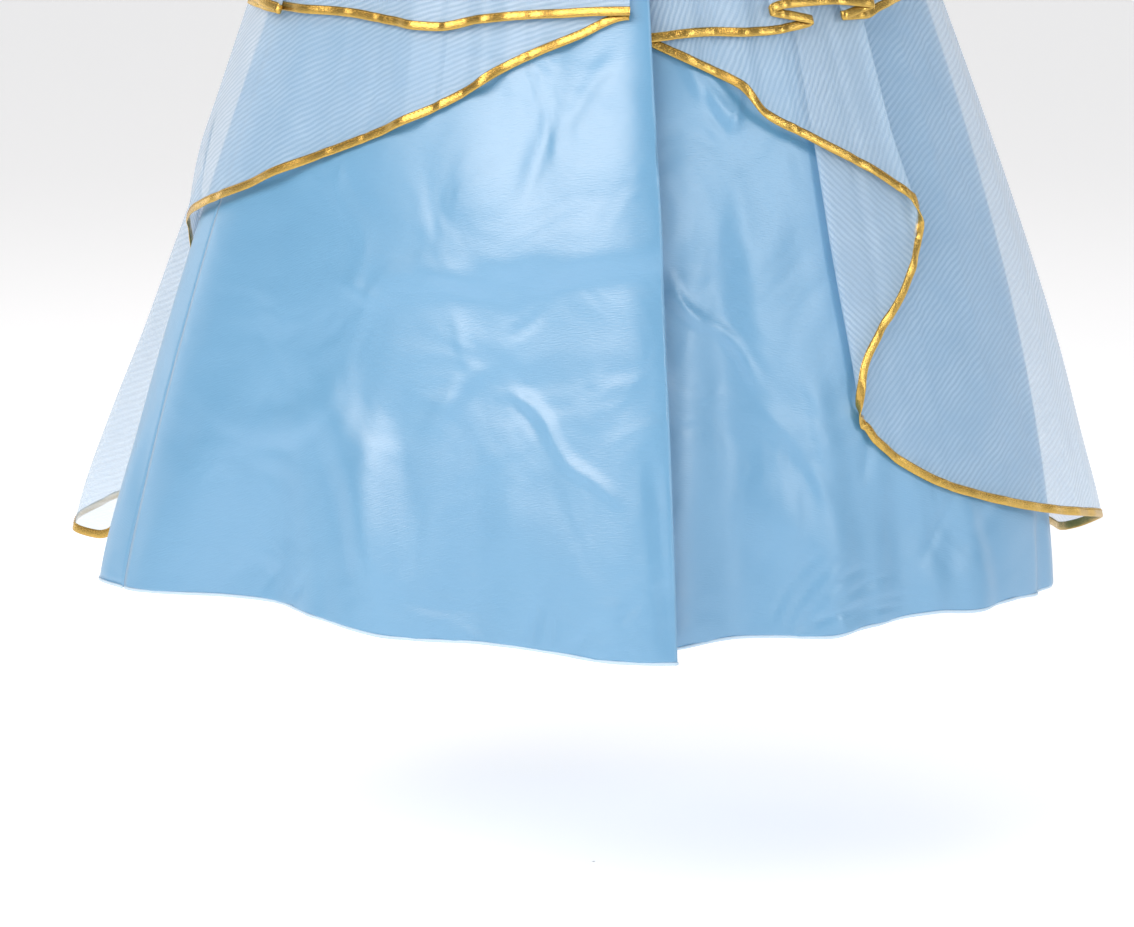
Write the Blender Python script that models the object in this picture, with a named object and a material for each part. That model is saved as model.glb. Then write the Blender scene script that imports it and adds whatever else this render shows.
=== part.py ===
"""Princess costume dress: a sleeveless bodice over a bell skirt of satin, with two tiers of sheer organza.

Lengths are in metres and angles in degrees. Z is up and the front faces -Y. The origin lies between the
shoulders, on the underside of the straps. A point of the skirt is given by its angle, 0 at the centre front
and positive towards +X, by its drop, 0 at the waist and 1 at the full length, and by its lift off the satin.
"""
import bpy
import numpy as np

WAIST_Z = -0.335
SKIRT_LENGTH = 0.68
WAIST_HALF_WIDTH = 0.118
WAIST_HALF_DEPTH = 0.092
HEM_SWAY = -0.022
SWAY_POWER = 1.3
BELL_MEAN = 1.37
BELL_SIDE = 0.17

SATIN_WALL = 0.0012
ORGANZA_WALL = 0.0010
BODICE_WALL = 0.0015
BINDING_WALL = 0.0018
BINDING_WIDTH = 0.007
SEAM_GAP = 0.0003
BINDING_GAP = 0.0005
LAYER_STEP = 0.0034
LAYER_WAIST_SHARE = 0.52
FOLD_OPENING = 0.0022
LONG_LIFT = 0.0042
SHORT_LIFT = 0.0046
LIFT_WAIST_SHARE = 0.45
SIDE_SEAM = 95.0
BACK_SEAM = 180.0
TURN_SHARE = 0.08
MERGE_DISTANCE = 0.00002
SHARP_ANGLE = 0.9
TINY = 0.0001
BODICE_TINY = 0.00002
WALK_SAMPLES = 160
STEEP_CUT = 0.04
CLOSEST_COLUMNS = 0.003
TURN_POINTS = 6

# Drops and angles over which forms grow: where it starts, and how far it takes.
CLEAR_OF_WAIST = (0.00, 0.25)
FOLDS_OPEN = (0.40, 0.25)
FRONT_CUT_AWAY = (0.54, 0.14)
GATHERS_OPEN = (0.06, 0.30)
OVER_RIGHT_FOLD = (13.0, 17.0)
OFF_RIGHT_FOLD = (55.0, 11.0)

# Plan of the satin hem, about the swayed centre: angle, radius.
HEM_PLAN = (
    (-180, 0.332), (-160, 0.340), (-145, 0.345), (-120, 0.346), (-112, 0.348), (-104, 0.347),
    (-95, 0.331), (-80, 0.285), (-62, 0.252), (-45, 0.238), (-20, 0.232), (0, 0.228), (20, 0.226),
    (35, 0.238), (50, 0.262), (64, 0.293), (76, 0.314), (90, 0.322), (104, 0.330), (120, 0.345),
    (135, 0.355), (155, 0.345), (180, 0.332),
)

# Soft folds of the satin: angle, half width, depth outwards, drop where it starts, drop where it is full.
SATIN_FOLDS = (
    (-160, 14, -0.016, 0.45, 1.00), (-135, 10, 0.010, 0.50, 1.00), (-100, 7, 0.006, 0.78, 1.00),
    (-77, 17, -0.026, 0.74, 1.02), (-52, 9, 0.006, 0.70, 1.00), (-33, 10, -0.007, 0.62, 1.00),
    (13, 12, -0.011, 0.45, 1.00), (31, 7, 0.005, 0.70, 1.00), (44, 6, -0.006, 0.78, 1.00),
    (56, 5, 0.006, 0.82, 1.00), (73, 4, -0.006, 0.84, 1.00), (118, 11, -0.014, 0.50, 1.00),
    (141, 9, 0.009, 0.55, 1.00), (163, 11, -0.015, 0.45, 1.00),
)

FOLD_START_WIDTH = 0.45

# Knife pleat at the centre front: drop, lift of its edge, depth of the return there and at its inner fold.
FRONT_PLEAT = (
    (0.00, 0.0085, 0.0016, 0.0018), (0.20, 0.0160, 0.0022, 0.0026), (0.42, 0.0205, 0.0030, 0.0040),
    (0.60, 0.0225, 0.0034, 0.0090), (0.80, 0.0255, 0.0038, 0.0140), (1.05, 0.0290, 0.0040, 0.0175),
)
PLEAT_FADE = 26.0
PLEAT_DEPTH = ((0.0, -6.5), (0.45, -6.5), (1.05, -9.0))

# Gentle gathers of the organza: angle, half width, height.
ORGANZA_GATHERS = (
    (-165, 7, 0.006), (-147, 6, 0.005), (-80, 6, 0.004), (-53, 6, 0.005), (-36, 5, 0.005), (-19, 6, 0.003),
    (9, 5, 0.003), (21, 5, 0.005), (74, 6, 0.004), (103, 6, 0.005), (124, 7, 0.006), (146, 7, 0.006),
    (166, 6, 0.005),
)

# How far the organza stands off at each side: drop, distance on the -X side, distance on the +X side.
SIDE_STAND = (
    (0.00, 0.000, 0.000), (0.15, 0.010, 0.003), (0.30, 0.021, 0.006), (0.40, 0.026, 0.008),
    (0.50, 0.025, 0.011), (0.62, 0.028, 0.016), (0.75, 0.034, 0.023), (0.85, 0.043, 0.028),
    (0.95, 0.052, 0.036), (1.02, 0.055, 0.038),
)
# Share of that distance round the skirt, above and below the drop where the front is cut away: angle, share.
STAND_HIGH = (
    (-180, 0.31), (-160, 0.55), (-140, 0.90), (-122, 1.00), (-112, 0.70), (-100, 0.32), (-85, 0.25),
    (-66, 0.00), (56, 0.00), (72, 0.35), (86, 1.00), (98, 0.60), (112, 0.50), (140, 0.60), (180, 0.45),
)
STAND_LOW = (
    (-180, 0.31), (-160, 0.55), (-142, 0.92), (-130, 1.14), (-125, 1.20), (-121.4, 1.08), (-118.2, 0.34),
    (-115, 0.00), (56, 0.00), (72, 0.30), (86, 1.00), (98, 0.55), (112, 0.45), (140, 0.60), (180, 0.45),
)

# Edges of the folds of each piece, in the order the cloth runs: tables of drop, angle.
LONG_RIGHT_FOLDS = (
    ((0, -3.5),), ((0, 51.5), (0.50, 50.8), (0.63, 53.2)), ((0, 35.4), (0.60, 35.6), (0.80, 37.2)),
)
SHORT_RIGHT_FOLDS = (((0, -3.5),), ((0, 36.8),), ((0, 27.0),), ((0, 50.4),), ((0, 44.0),))
SHORT_LEFT_FOLDS = (((0, -85.3),), ((0, -98.0),))
LEFT_FRONT_EDGE = ((0, -1.2), (0.42, -4.6))

# Cut edges: leg of the folded path, angle, drop.
SATIN_FRONT_HEM = (
    (0, -95, 0.993), (0, -90, 0.990), (0, -82, 0.985), (0, -71, 0.984), (0, -63, 0.985), (0, -54, 0.988),
    (0, -45, 0.993), (0, -27, 0.993), (0, -18, 0.996), (0, -10, 1.000), (0, 0, 1.001), (1, -4, 0.999),
    (2, 0, 0.996), (2, 5, 0.994), (2, 12, 0.993), (2, 20, 0.994), (2, 29, 0.998), (2, 35, 0.994),
    (2, 42, 0.992), (2, 49, 0.989), (2, 55, 0.993), (2, 63, 0.992), (2, 74, 0.998), (2, 95, 0.999),
)
SATIN_BACK_LEFT_HEM = (
    (0, -180, 0.990), (0, -150, 0.995), (0, -125, 0.998), (0, -108, 0.997), (0, -95, 0.993),
)
SATIN_BACK_RIGHT_HEM = ((0, 95, 0.999), (0, 115, 0.998), (0, 140, 0.994), (0, 165, 0.991), (0, 180, 0.990))
LONG_RIGHT_HEM = (
    (0, -3.5, 0.412), (0, 0, 0.419), (0, 8.8, 0.437), (0, 19.6, 0.462), (0, 24.5, 0.490), (0, 34.4, 0.519),
    (0, 44.8, 0.551), (0, 50, 0.573), (1, 53.2, 0.606), (1, 48.2, 0.668), (1, 42.2, 0.708), (1, 38.6, 0.737),
    (2, 36.9, 0.776), (2, 38.3, 0.798), (2, 39.9, 0.812), (2, 49.4, 0.857), (2, 59.8, 0.886),
    (2, 71.5, 0.912), (2, 86, 0.940), (2, 99, 0.974), (2, 120, 0.978), (2, 150, 0.972), (2, 180, 0.966),
)
LONG_LEFT_HEM = (
    (0, -180, 0.958), (0, -150, 0.964), (0, -133, 0.967), (0, -124, 0.974), (0, -119.4, 0.984),
    (0, -117.9, 0.970), (0, -117.8, 0.910), (0, -117.3, 0.820), (0, -115.6, 0.730), (0, -112, 0.665),
    (0, -103.0, 0.620), (0, -97.8, 0.607), (0, -87.2, 0.581), (0, -74.2, 0.546), (0, -52.8, 0.500),
    (0, -37.9, 0.464), (0, -32.7, 0.448), (0, -27.5, 0.436), (0, -14.9, 0.412), (0, -4.6, 0.393),
)
SHORT_RIGHT_HEM = (
    (0, -3.5, 0.414), (0, 0, 0.416), (0, 10.5, 0.412), (0, 25.9, 0.413), (0, 32.2, 0.410), (1, 36.8, 0.405),
    (1, 33, 0.400), (2, 27, 0.393), (2, 30, 0.387), (2, 39.7, 0.386), (3, 50.4, 0.393), (4, 44, 0.402),
    (4, 50.1, 0.403), (4, 53.6, 0.397), (4, 58.5, 0.391), (4, 78, 0.372), (4, 100, 0.360), (4, 140, 0.352),
    (4, 180, 0.350),
)
SHORT_LEFT_HEM = (
    (0, -180, 0.350), (0, -140, 0.354), (0, -108, 0.372), (0, -91.4, 0.397), (1, -85.3, 0.404),
    (2, -98, 0.400), (2, -84.1, 0.401), (2, -73, 0.401), (2, -58.7, 0.406), (2, -47.8, 0.409),
    (2, -36.4, 0.399), (2, -19.1, 0.392), (2, -4.6, 0.388),
)
EDGE_ABOVE_BINDING_MIDDLE = 0.006
BINDING_ROWS = (0.0, 0.45, 1.0)

# Bodice: height, half width, front depth, back depth.
BODICE_FORM = (
    (-0.335, 0.1235, 0.0975, 0.0965), (-0.290, 0.1240, 0.1000, 0.0950), (-0.240, 0.1290, 0.1060, 0.0960),
    (-0.200, 0.1340, 0.1100, 0.0980), (-0.165, 0.1370, 0.1115, 0.1000), (-0.130, 0.1380, 0.1080, 0.1010),
    (-0.100, 0.1380, 0.1010, 0.0990), (-0.070, 0.1380, 0.0900, 0.0920), (-0.045, 0.1380, 0.0760, 0.0790),
    (-0.025, 0.1380, 0.0590, 0.0610), (-0.010, 0.1380, 0.0370, 0.0390), (-0.003, 0.1380, 0.0190, 0.0200),
    (-0.0004, 0.1380, 0.0070, 0.0070), (0.000, 0.1380, 0.0, 0.0),
)
# Armhole: height, distance of its edge from the centre.
ARMHOLE = (
    (-0.165, 0.1370), (-0.163, 0.1310), (-0.156, 0.1235), (-0.140, 0.1160), (-0.115, 0.1100),
    (-0.080, 0.1075), (-0.040, 0.1100), (0.0, 0.1160),
)
CLOSURE_OVERLAP = 0.022
# Neck, at the front and back: height, distance of its edge from the centre. The backs lap at the centre.
NECK_FRONT = ((-0.085, 0.0), (-0.083, 0.016), (-0.076, 0.031), (-0.062, 0.043), (-0.035, 0.052), (0.0, 0.056))
NECK_BACK = (
    (-0.048, -CLOSURE_OVERLAP / 2), (-0.0455, 0.018), (-0.040, 0.033), (-0.028, 0.045), (-0.014, 0.052),
    (0.0, 0.056),
)
BODICE_HEIGHTS = (
    -0.33545, -0.30, -0.26, -0.225, -0.195, -0.165, -0.163, -0.156, -0.140, -0.118, -0.100, -0.085,
    -0.083, -0.076, -0.062, -0.048, -0.0455, -0.040, -0.028, -0.014, -0.005, -0.0004, 0.0,
)
SHOULDER_SLOPE = 0.32
SHOULDER_DEPTH = 0.11
SHOULDER_GAP = 0.0004
CLOSURE_LIFT = 0.0026
BODICE_COLUMNS = 6
FRONT, BACK = 2, 3

SATIN_BLUE = (0.376, 0.610, 0.775)
ORGANZA_BLUE = (0.560, 0.700, 0.810)
BINDING_GOLD = (0.710, 0.440, 0.080)

for leftover in list(bpy.data.objects):
    bpy.data.objects.remove(leftover, do_unlink=True)


def smooth(share):
    """Soft step of a share, from 0 to 1."""
    share = np.clip(share, 0.0, 1.0)
    return share * share * (3.0 - 2.0 * share)


def curve(at, rows, column=1, level_ends=True):
    """Smooth curve through a table's rows that never overshoots them and, if asked, ends level."""
    rows = np.array(rows, float)
    if len(rows) == 1:
        return np.full_like(np.asarray(at, float), rows[0, column])
    knots, values = rows[:, 0], rows[:, column]
    step = np.diff(knots)
    rise = np.diff(values) / step
    slope = np.zeros_like(values)
    product = rise[:-1] * rise[1:]
    slope[1:-1] = np.where(product > 0, 2.0 * product / np.where(product > 0, rise[:-1] + rise[1:], 1.0), 0.0)
    if not level_ends:
        slope[0], slope[-1] = rise[0], rise[-1]
    at = np.clip(np.asarray(at, float), knots[0], knots[-1])
    i = np.clip(np.searchsorted(knots, at) - 1, 0, len(step) - 1)
    s = (at - knots[i]) / step[i]
    return (values[i] * (1 + 2 * s) * (1 - s) ** 2 + slope[i] * step[i] * s * (1 - s) ** 2
            + values[i + 1] * s * s * (3 - 2 * s) + slope[i + 1] * step[i] * s * s * (s - 1))


def satin_radius(angle, drop):
    """Radius of the satin: a bell from the oval waist to the hem's plan, with its soft folds."""
    turn = np.radians(angle)
    waist = WAIST_HALF_WIDTH * WAIST_HALF_DEPTH / np.hypot(
        WAIST_HALF_DEPTH * np.sin(turn), WAIST_HALF_WIDTH * np.cos(turn))
    bell = BELL_MEAN + BELL_SIDE * np.sin(turn)
    radius = waist + (curve(angle, HEM_PLAN) - waist) * (1 - (1 - np.clip(drop, 0, 1)) ** bell)
    for centre, half_width, depth, start, full in SATIN_FOLDS:
        share = smooth((drop - start) / (full - start))
        width = half_width * (FOLD_START_WIDTH + (1 - FOLD_START_WIDTH) * share)
        radius = radius + depth * share * smooth(1 - np.abs(angle - centre) / width)
    return radius


def place(angle, drop, lift):
    """Point at an angle, a drop and a lift off the satin."""
    turn = np.radians(angle)
    reach = satin_radius(angle, drop) + lift
    sway = HEM_SWAY * np.clip(drop, 0, 1) ** SWAY_POWER
    return np.stack([reach * np.sin(turn), sway - reach * np.cos(turn), WAIST_Z - SKIRT_LENGTH * drop], -1)


def seam_edge(angle, side):
    """Edge at a seam, half a seam gap to one side of its angle at every drop."""
    drops = np.linspace(0, 1, 6)
    share = np.degrees(0.5 * SEAM_GAP / satin_radius(np.full(6, float(angle)), drops))
    return tuple((d, angle + side * s) for d, s in zip(drops, share))


def grown(at, span):
    """How far something has grown at a drop or an angle, from 0 to 1."""
    start, length = span
    return smooth((at - start) / length)


def easing(drop, waist_share=LIFT_WAIST_SHARE):
    """Layers lie closer together at the waist, where they are sewn into one seam."""
    return waist_share + (1 - waist_share) * grown(drop, CLEAR_OF_WAIST)


def layer_step(drop):
    """Distance between the layers of a fold, which opens towards the hem."""
    return LAYER_STEP * easing(drop, LAYER_WAIST_SHARE) + FOLD_OPENING * grown(drop, FOLDS_OPEN)


def pleat_lift(angle, drop):
    """Lift of the left front of the satin as it rises to the pleat's edge."""
    return curve(drop, FRONT_PLEAT, 1) * smooth((angle + PLEAT_FADE) / PLEAT_FADE)


def pleat_return_lift(angle, drop):
    """Lift of the return under the pleat, from its edge to its inner fold."""
    share = np.clip(angle / curve(drop, PLEAT_DEPTH), 0, 1)
    under = curve(drop, FRONT_PLEAT, 2) * (1 - share) + curve(drop, FRONT_PLEAT, 3) * share
    return pleat_lift(angle, drop) - under


def stand(angle, drop):
    """Distance the organza stands off at the sides and back."""
    column = np.where(angle < 0, curve(drop, SIDE_STAND, 1), curve(drop, SIDE_STAND, 2))
    low = grown(drop, FRONT_CUT_AWAY)
    return column * (curve(angle, STAND_HIGH) * (1 - low) + curve(angle, STAND_LOW) * low)


def gathers(angle, drop):
    """Gentle gathers that open below the waist."""
    total = np.zeros_like(np.asarray(angle, float))
    for centre, half_width, height in ORGANZA_GATHERS:
        total += height * smooth(1 - np.abs(angle - centre) / half_width)
    return total * grown(drop, GATHERS_OPEN)


def long_lift(angle, drop):
    """Lift of the long tier's lowest layer."""
    on_left = np.where(angle < 0, pleat_lift(np.minimum(angle, 0), drop), 0.0)
    return on_left + LONG_LIFT * easing(drop) + stand(angle, drop) + gathers(angle, drop)


def long_right_lift(angle, drop):
    """Lift of the +X half, which stays clear of the pleat that covers its front edge."""
    return LONG_LIFT * easing(drop) + stand(angle, drop) + gathers(angle, drop)


def long_right_front(angle, drop):
    """The front of the long tier rises over its own two folded layers."""
    return long_right_lift(angle, drop) + 2 * layer_step(drop) * grown(angle, OVER_RIGHT_FOLD)


def short_right_lift(angle, drop):
    """The short tier lies over the long tier and its fold."""
    over_fold = grown(angle, OVER_RIGHT_FOLD) * (1 - grown(angle, OFF_RIGHT_FOLD))
    return long_right_lift(angle, drop) + 2 * layer_step(drop) * over_fold + SHORT_LIFT * easing(drop)


def short_left_lift(angle, drop):
    """The short tier lies over the long tier."""
    return long_lift(angle, drop) + SHORT_LIFT * easing(drop)


def on_satin(angle, drop):
    """The satin's own surface."""
    return np.zeros_like(np.asarray(angle, float))


def raised(lift, layers):
    """The same lift, some layers further out."""
    return lambda angle, drop: lift(angle, drop) + layers * layer_step(drop)


class FoldedCloth:
    """Cloth that runs round the skirt in legs, each turned back over the last by a round fold.

    A place along it is q: leg k lies between k and k + 1, and each fold turns half a circle about its q.
    """

    def __init__(self, edges, lifts, hem, columns, rows):
        self.edges = edges
        self.lifts = lifts
        self.columns = columns
        self.rows = rows
        self.hem = [(self.place_of(leg, angle, drop), drop) for leg, angle, drop in hem]

    def leg_ends(self, leg, drop):
        """Angles where the straight part of a leg starts and ends, and the half turns there."""
        first, last = curve(drop, self.edges[leg]), curve(drop, self.edges[leg + 1])
        way = np.sign(last - first)
        before, after = self.half_turn(leg, first, drop), self.half_turn(leg + 1, last, drop)
        return first + way * before[0], last - way * after[0], before, after

    def half_turn(self, fold, angle, drop):
        """A fold's radius in degrees and in metres, 0 at the two ends of the cloth."""
        if fold == 0 or fold == len(self.lifts):
            return 0 * drop, 0 * drop
        apart = self.lifts[fold - 1](angle, drop) - self.lifts[fold](angle, drop)
        return np.degrees(np.abs(apart) / 2 / satin_radius(angle, drop)), apart / 2

    def point(self, q, drop):
        """Point of the cloth's middle at q and a drop."""
        q, drop = np.broadcast_arrays(np.asarray(q, float), np.asarray(drop, float))
        angle, lift = np.zeros_like(q), np.zeros_like(q)
        legs = len(self.lifts)
        for leg in range(legs):
            mine = (np.clip(np.floor(q), 0, legs - 1) == leg)
            share, at = q[mine] - leg, drop[mine]
            start, end, before, after = self.leg_ends(leg, at)
            way = np.sign(end - start)
            low = TURN_SHARE if leg > 0 else 0.0
            high = 1 - TURN_SHARE if leg < legs - 1 else 1.0
            straight = np.clip((share - low) / (high - low), 0, 1)
            here = start + (end - start) * straight
            out = self.lifts[leg](here, at)
            if leg > 0:
                turn = np.pi * (0.5 + 0.5 * np.clip(share / TURN_SHARE, 0, 1))
                turning = share < low
                here = np.where(turning, start - way * before[0] * np.sin(turn), here)
                out = np.where(turning, self.lifts[leg](start, at) + before[1] * (1 + np.cos(turn)), out)
            if leg < legs - 1:
                turn = 0.5 * np.pi * np.clip((share - high) / TURN_SHARE, 0, 1)
                turning = share > high
                here = np.where(turning, end + way * after[0] * np.sin(turn), here)
                out = np.where(turning, self.lifts[leg](end, at) - after[1] * (1 - np.cos(turn)), out)
            angle[mine], lift[mine] = here, out
        return place(angle, drop, lift)

    def place_of(self, leg, angle, drop):
        """The q of an angle on a leg."""
        start, end, before, after = self.leg_ends(leg, np.float64(drop))
        low = TURN_SHARE if leg > 0 else 0.0
        high = 1 - TURN_SHARE if leg < len(self.lifts) - 1 else 1.0
        share = (angle - start) / (end - start)
        if share < 0 and leg > 0:
            return float(leg)
        if share > 1 and leg < len(self.lifts) - 1:
            return float(leg + 1)
        return float(leg + low + (high - low) * np.clip(share, 0, 1))

    def stations(self):
        """Places of the mesh's columns: even along each leg, a few round each fold, and at steep cuts."""
        places = []
        for leg, count in enumerate(self.columns):
            low = leg + (TURN_SHARE if leg > 0 else 0.0)
            high = leg + 1 - (TURN_SHARE if leg < len(self.columns) - 1 else 0.0)
            places += list(np.linspace(low, high, count + 1))
            if leg < len(self.columns) - 1:
                places += list(np.linspace(high, high + 2 * TURN_SHARE, TURN_POINTS + 2)[1:-1])
        steep = [q for (q, drop), (_, before), (_, after) in zip(self.hem[1:], self.hem, self.hem[2:])
                 if max(abs(drop - before), abs(after - drop)) > STEEP_CUT]
        spaced = [q for q in steep if min(abs(q - other) for other in places) > CLOSEST_COLUMNS]
        return np.array(sorted(places + spaced))

    def edge_drop(self, q):
        """Drop of the cut edge at q."""
        return curve(q, self.hem)

    def sheet(self, q, drop):
        """Points of the cloth's middle and the way out at each."""
        q, drop = np.broadcast_arrays(q, drop)
        last = len(self.lifts)
        along = (self.point(np.minimum(q + TINY, last), drop) - self.point(np.maximum(q - TINY, 0), drop))
        down = self.point(q, drop + TINY) - self.point(q, drop - TINY)
        out = np.cross(down, along)
        return self.point(q, drop), out / np.linalg.norm(out, axis=-1, keepdims=True)

    def panel(self, above_edge=0.0):
        """The whole piece, from the waist to its cut edge."""
        q = self.stations()
        down = np.linspace(0, 1, self.rows + 1)[:, None]
        return self.sheet(q[None, :], down * (self.edge_drop(q) - above_edge)[None, :])

    def band(self, above_edge, distances):
        """A band along the cut edge, at some distances from it, measured in the cloth."""
        q = self.stations()
        drop = self.edge_drop(q) - above_edge
        depth = np.linalg.norm(self.point(q, drop + TINY) - self.point(q, drop - TINY), axis=-1) / (2 * TINY)
        middle = (drop[1:] + drop[:-1]) / 2
        run = np.linalg.norm(self.point(q[1:], middle) - self.point(q[:-1], middle), axis=-1)
        steps = np.stack([run, np.diff(drop) * (depth[1:] + depth[:-1]) / 2], -1)
        ways = np.concatenate([steps[:1], steps[1:] + steps[:-1], steps[-1:]])
        run, fall = (ways / np.linalg.norm(ways, axis=1, keepdims=True)).T
        drops = np.array([drop + distance * run / depth for distance in distances])
        places = np.array([self.walked(q, at, -distance * fall) for at, distance in zip(drops, distances)])
        return self.sheet(places, drops)

    def walked(self, q, drop, distance):
        """The q reached from q by walking a distance along the cloth at a drop."""
        samples = np.unique(np.concatenate([self.stations(), np.linspace(0, len(self.lifts), WALK_SAMPLES)]))
        reached = np.zeros_like(q)
        for i, (start, at, walk) in enumerate(zip(q, drop, distance)):
            line = self.point(samples, np.full_like(samples, at))
            length = np.concatenate([[0], np.cumsum(np.linalg.norm(np.diff(line, axis=0), axis=1))])
            reached[i] = np.interp(np.interp(start, samples, length) + walk, length, samples)
        return reached


def wall(name, sheets, thickness, finish):
    """One closed wall about one or more sheets of points, each with the way out, which may share an edge."""
    middle = np.concatenate([points.reshape(-1, 3) for points, _ in sheets])
    out = np.concatenate([ways.reshape(-1, 3) for _, ways in sheets])
    quads, first = [], 0
    for points, _ in sheets:
        number = first + np.arange(points[..., 0].size).reshape(points.shape[:2])
        corners = number[:-1, :-1], number[1:, :-1], number[1:, 1:], number[:-1, 1:]
        quads.append(np.stack(corners, -1).reshape(-1, 4))
        first += number.size
    rounded = np.round(middle / MERGE_DISTANCE) + 0.0
    _, kept, same = np.unique(rounded, axis=0, return_index=True, return_inverse=True)
    middle, out = middle[kept], out[kept]
    a, b, c, d = same.reshape(-1)[np.concatenate(quads)].T
    diagonals = np.linalg.norm(middle[a] - middle[c], axis=1), np.linalg.norm(middle[b] - middle[d], axis=1)
    short = (diagonals[0] <= diagonals[1])[:, None]
    faces = np.concatenate([np.where(short, np.stack([a, b, c], 1), np.stack([a, b, d], 1)),
                            np.where(short, np.stack([a, c, d], 1), np.stack([b, c, d], 1))])
    directed = set(map(tuple, faces[:, [0, 1, 1, 2, 2, 0]].reshape(-1, 2).tolist()))
    start, end = np.array(sorted(edge for edge in directed if edge[::-1] not in directed)).T
    under = len(middle)
    shell = np.concatenate([faces, faces[:, ::-1] + under, np.stack([end, start, start + under], 1),
                            np.stack([end, start + under, end + under], 1)])
    walls = np.concatenate([middle + out * thickness / 2, middle - out * thickness / 2])
    mesh = bpy.data.meshes.new(name)
    mesh.from_pydata(walls.tolist(), [], shell.tolist())
    mesh.shade_smooth()
    mesh.set_sharp_from_angle(angle=SHARP_ANGLE)
    mesh.materials.append(finish)
    piece = bpy.data.objects.new(name, mesh)
    bpy.context.scene.collection.objects.link(piece)
    return piece


def bodice_half(side, depth_column, neck, angle_out, lift=0.0):
    """Half a bodice piece, from its inner edge to the side seam and armhole: -X is side -1, +X is side 1.

    Each height is an oval cut by the neck and the armhole, and the shoulder slopes down from the neck.
    """
    facing = -1.0 if depth_column == FRONT else 1.0

    def point(share, height):
        width = curve(height, BODICE_FORM, 1)
        depth = curve(height, BODICE_FORM, depth_column, level_ends=False)
        inner = np.degrees(np.arcsin(curve(height, neck) / width))
        outer = np.minimum(np.degrees(np.arcsin(np.minimum(curve(height, ARMHOLE) / width, 1.0))), angle_out)
        turn = np.radians(inner + (outer - inner) * share)
        x = side * (width + lift) * np.sin(turn)
        y = facing * ((depth + lift) * np.cos(turn) + SHOULDER_GAP / 2)
        fall = SHOULDER_SLOPE * np.maximum(np.abs(x) - NECK_FRONT[-1][1], 0)
        fall = fall * smooth(1 + height / SHOULDER_DEPTH)
        return np.stack([x, y, height - fall + BODICE_WALL / 2], -1)

    share = np.linspace(0, 1, BODICE_COLUMNS + 1)[None, :]
    height = np.array(BODICE_HEIGHTS)[::-1, None]
    share, height = np.broadcast_arrays(share, height)
    above, below = np.minimum(height + BODICE_TINY, 0), height - BODICE_TINY
    before, after = np.maximum(share - BODICE_TINY, 0), np.minimum(share + BODICE_TINY, 1)
    along = point(after, height) - point(before, height)
    out = np.cross(point(share, below) - point(share, above), along) * side * -facing
    out /= np.linalg.norm(out, axis=-1, keepdims=True)
    points = point(share, height)
    flip = slice(None) if side * facing < 0 else slice(None, None, -1)
    return points[:, flip], out[:, flip]


def finish(name, colour, roughness, metallic=0.0, alpha=1.0):
    """A Principled material of one colour."""
    made = bpy.data.materials.new(name)
    made.use_nodes = True
    shader = made.node_tree.nodes["Principled BSDF"]
    shader.inputs["Base Color"].default_value = (*colour, 1.0)
    shader.inputs["Roughness"].default_value = roughness
    shader.inputs["Metallic"].default_value = metallic
    shader.inputs["Alpha"].default_value = alpha
    return made


def satin(name):
    """Light blue satin."""
    return finish(name + "_satin", SATIN_BLUE, 0.35)


def organza(name):
    """Sheer pale organza."""
    return finish(name + "_organza", ORGANZA_BLUE, 0.45, alpha=0.45)


def gold(name):
    """Metallic gold binding."""
    return finish(name + "_binding", BINDING_GOLD, 0.30, metallic=0.9)

skirt_front = FoldedCloth(
    edges=(seam_edge(-SIDE_SEAM, 1), ((0, 0.0),), PLEAT_DEPTH, seam_edge(SIDE_SEAM, -1)),
    lifts=(pleat_lift, pleat_return_lift, on_satin), hem=SATIN_FRONT_HEM, columns=(31, 2, 30), rows=10)
skirt_back_left = FoldedCloth(
    edges=(seam_edge(-BACK_SEAM, 1), seam_edge(-SIDE_SEAM, -1)),
    lifts=(on_satin,), hem=SATIN_BACK_LEFT_HEM, columns=(22,), rows=9)
skirt_back_right = FoldedCloth(
    edges=(seam_edge(SIDE_SEAM, 1), seam_edge(BACK_SEAM, -1)),
    lifts=(on_satin,), hem=SATIN_BACK_RIGHT_HEM, columns=(22,), rows=9)
for name, cloth in (("skirt_front", skirt_front), ("skirt_back_left", skirt_back_left),
                    ("skirt_back_right", skirt_back_right)):
    wall(name, [cloth.panel()], SATIN_WALL, satin(name))

TIERS = {
    "overskirt_long_left": FoldedCloth(
        edges=(seam_edge(-BACK_SEAM, 1), LEFT_FRONT_EDGE),
        lifts=(long_lift,), hem=LONG_LEFT_HEM, columns=(48,), rows=8),
    "overskirt_long_right": FoldedCloth(
        edges=(*LONG_RIGHT_FOLDS, seam_edge(BACK_SEAM, -1)),
        lifts=(long_right_front, raised(long_right_lift, 1), long_right_lift),
        hem=LONG_RIGHT_HEM, columns=(15, 5, 32), rows=8),
    "overskirt_short_left": FoldedCloth(
        edges=(seam_edge(-BACK_SEAM, 1), *SHORT_LEFT_FOLDS, LEFT_FRONT_EDGE),
        lifts=(raised(short_left_lift, 2), raised(short_left_lift, 1), short_left_lift),
        hem=SHORT_LEFT_HEM, columns=(18, 2, 20), rows=3),
    "overskirt_short_right": FoldedCloth(
        edges=(*SHORT_RIGHT_FOLDS, seam_edge(BACK_SEAM, -1)),
        lifts=(short_right_lift, raised(short_right_lift, 1), raised(short_right_lift, 2),
               raised(short_right_lift, 1), short_right_lift),
        hem=SHORT_RIGHT_HEM, columns=(10, 2, 6, 1, 26), rows=3),
}
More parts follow.
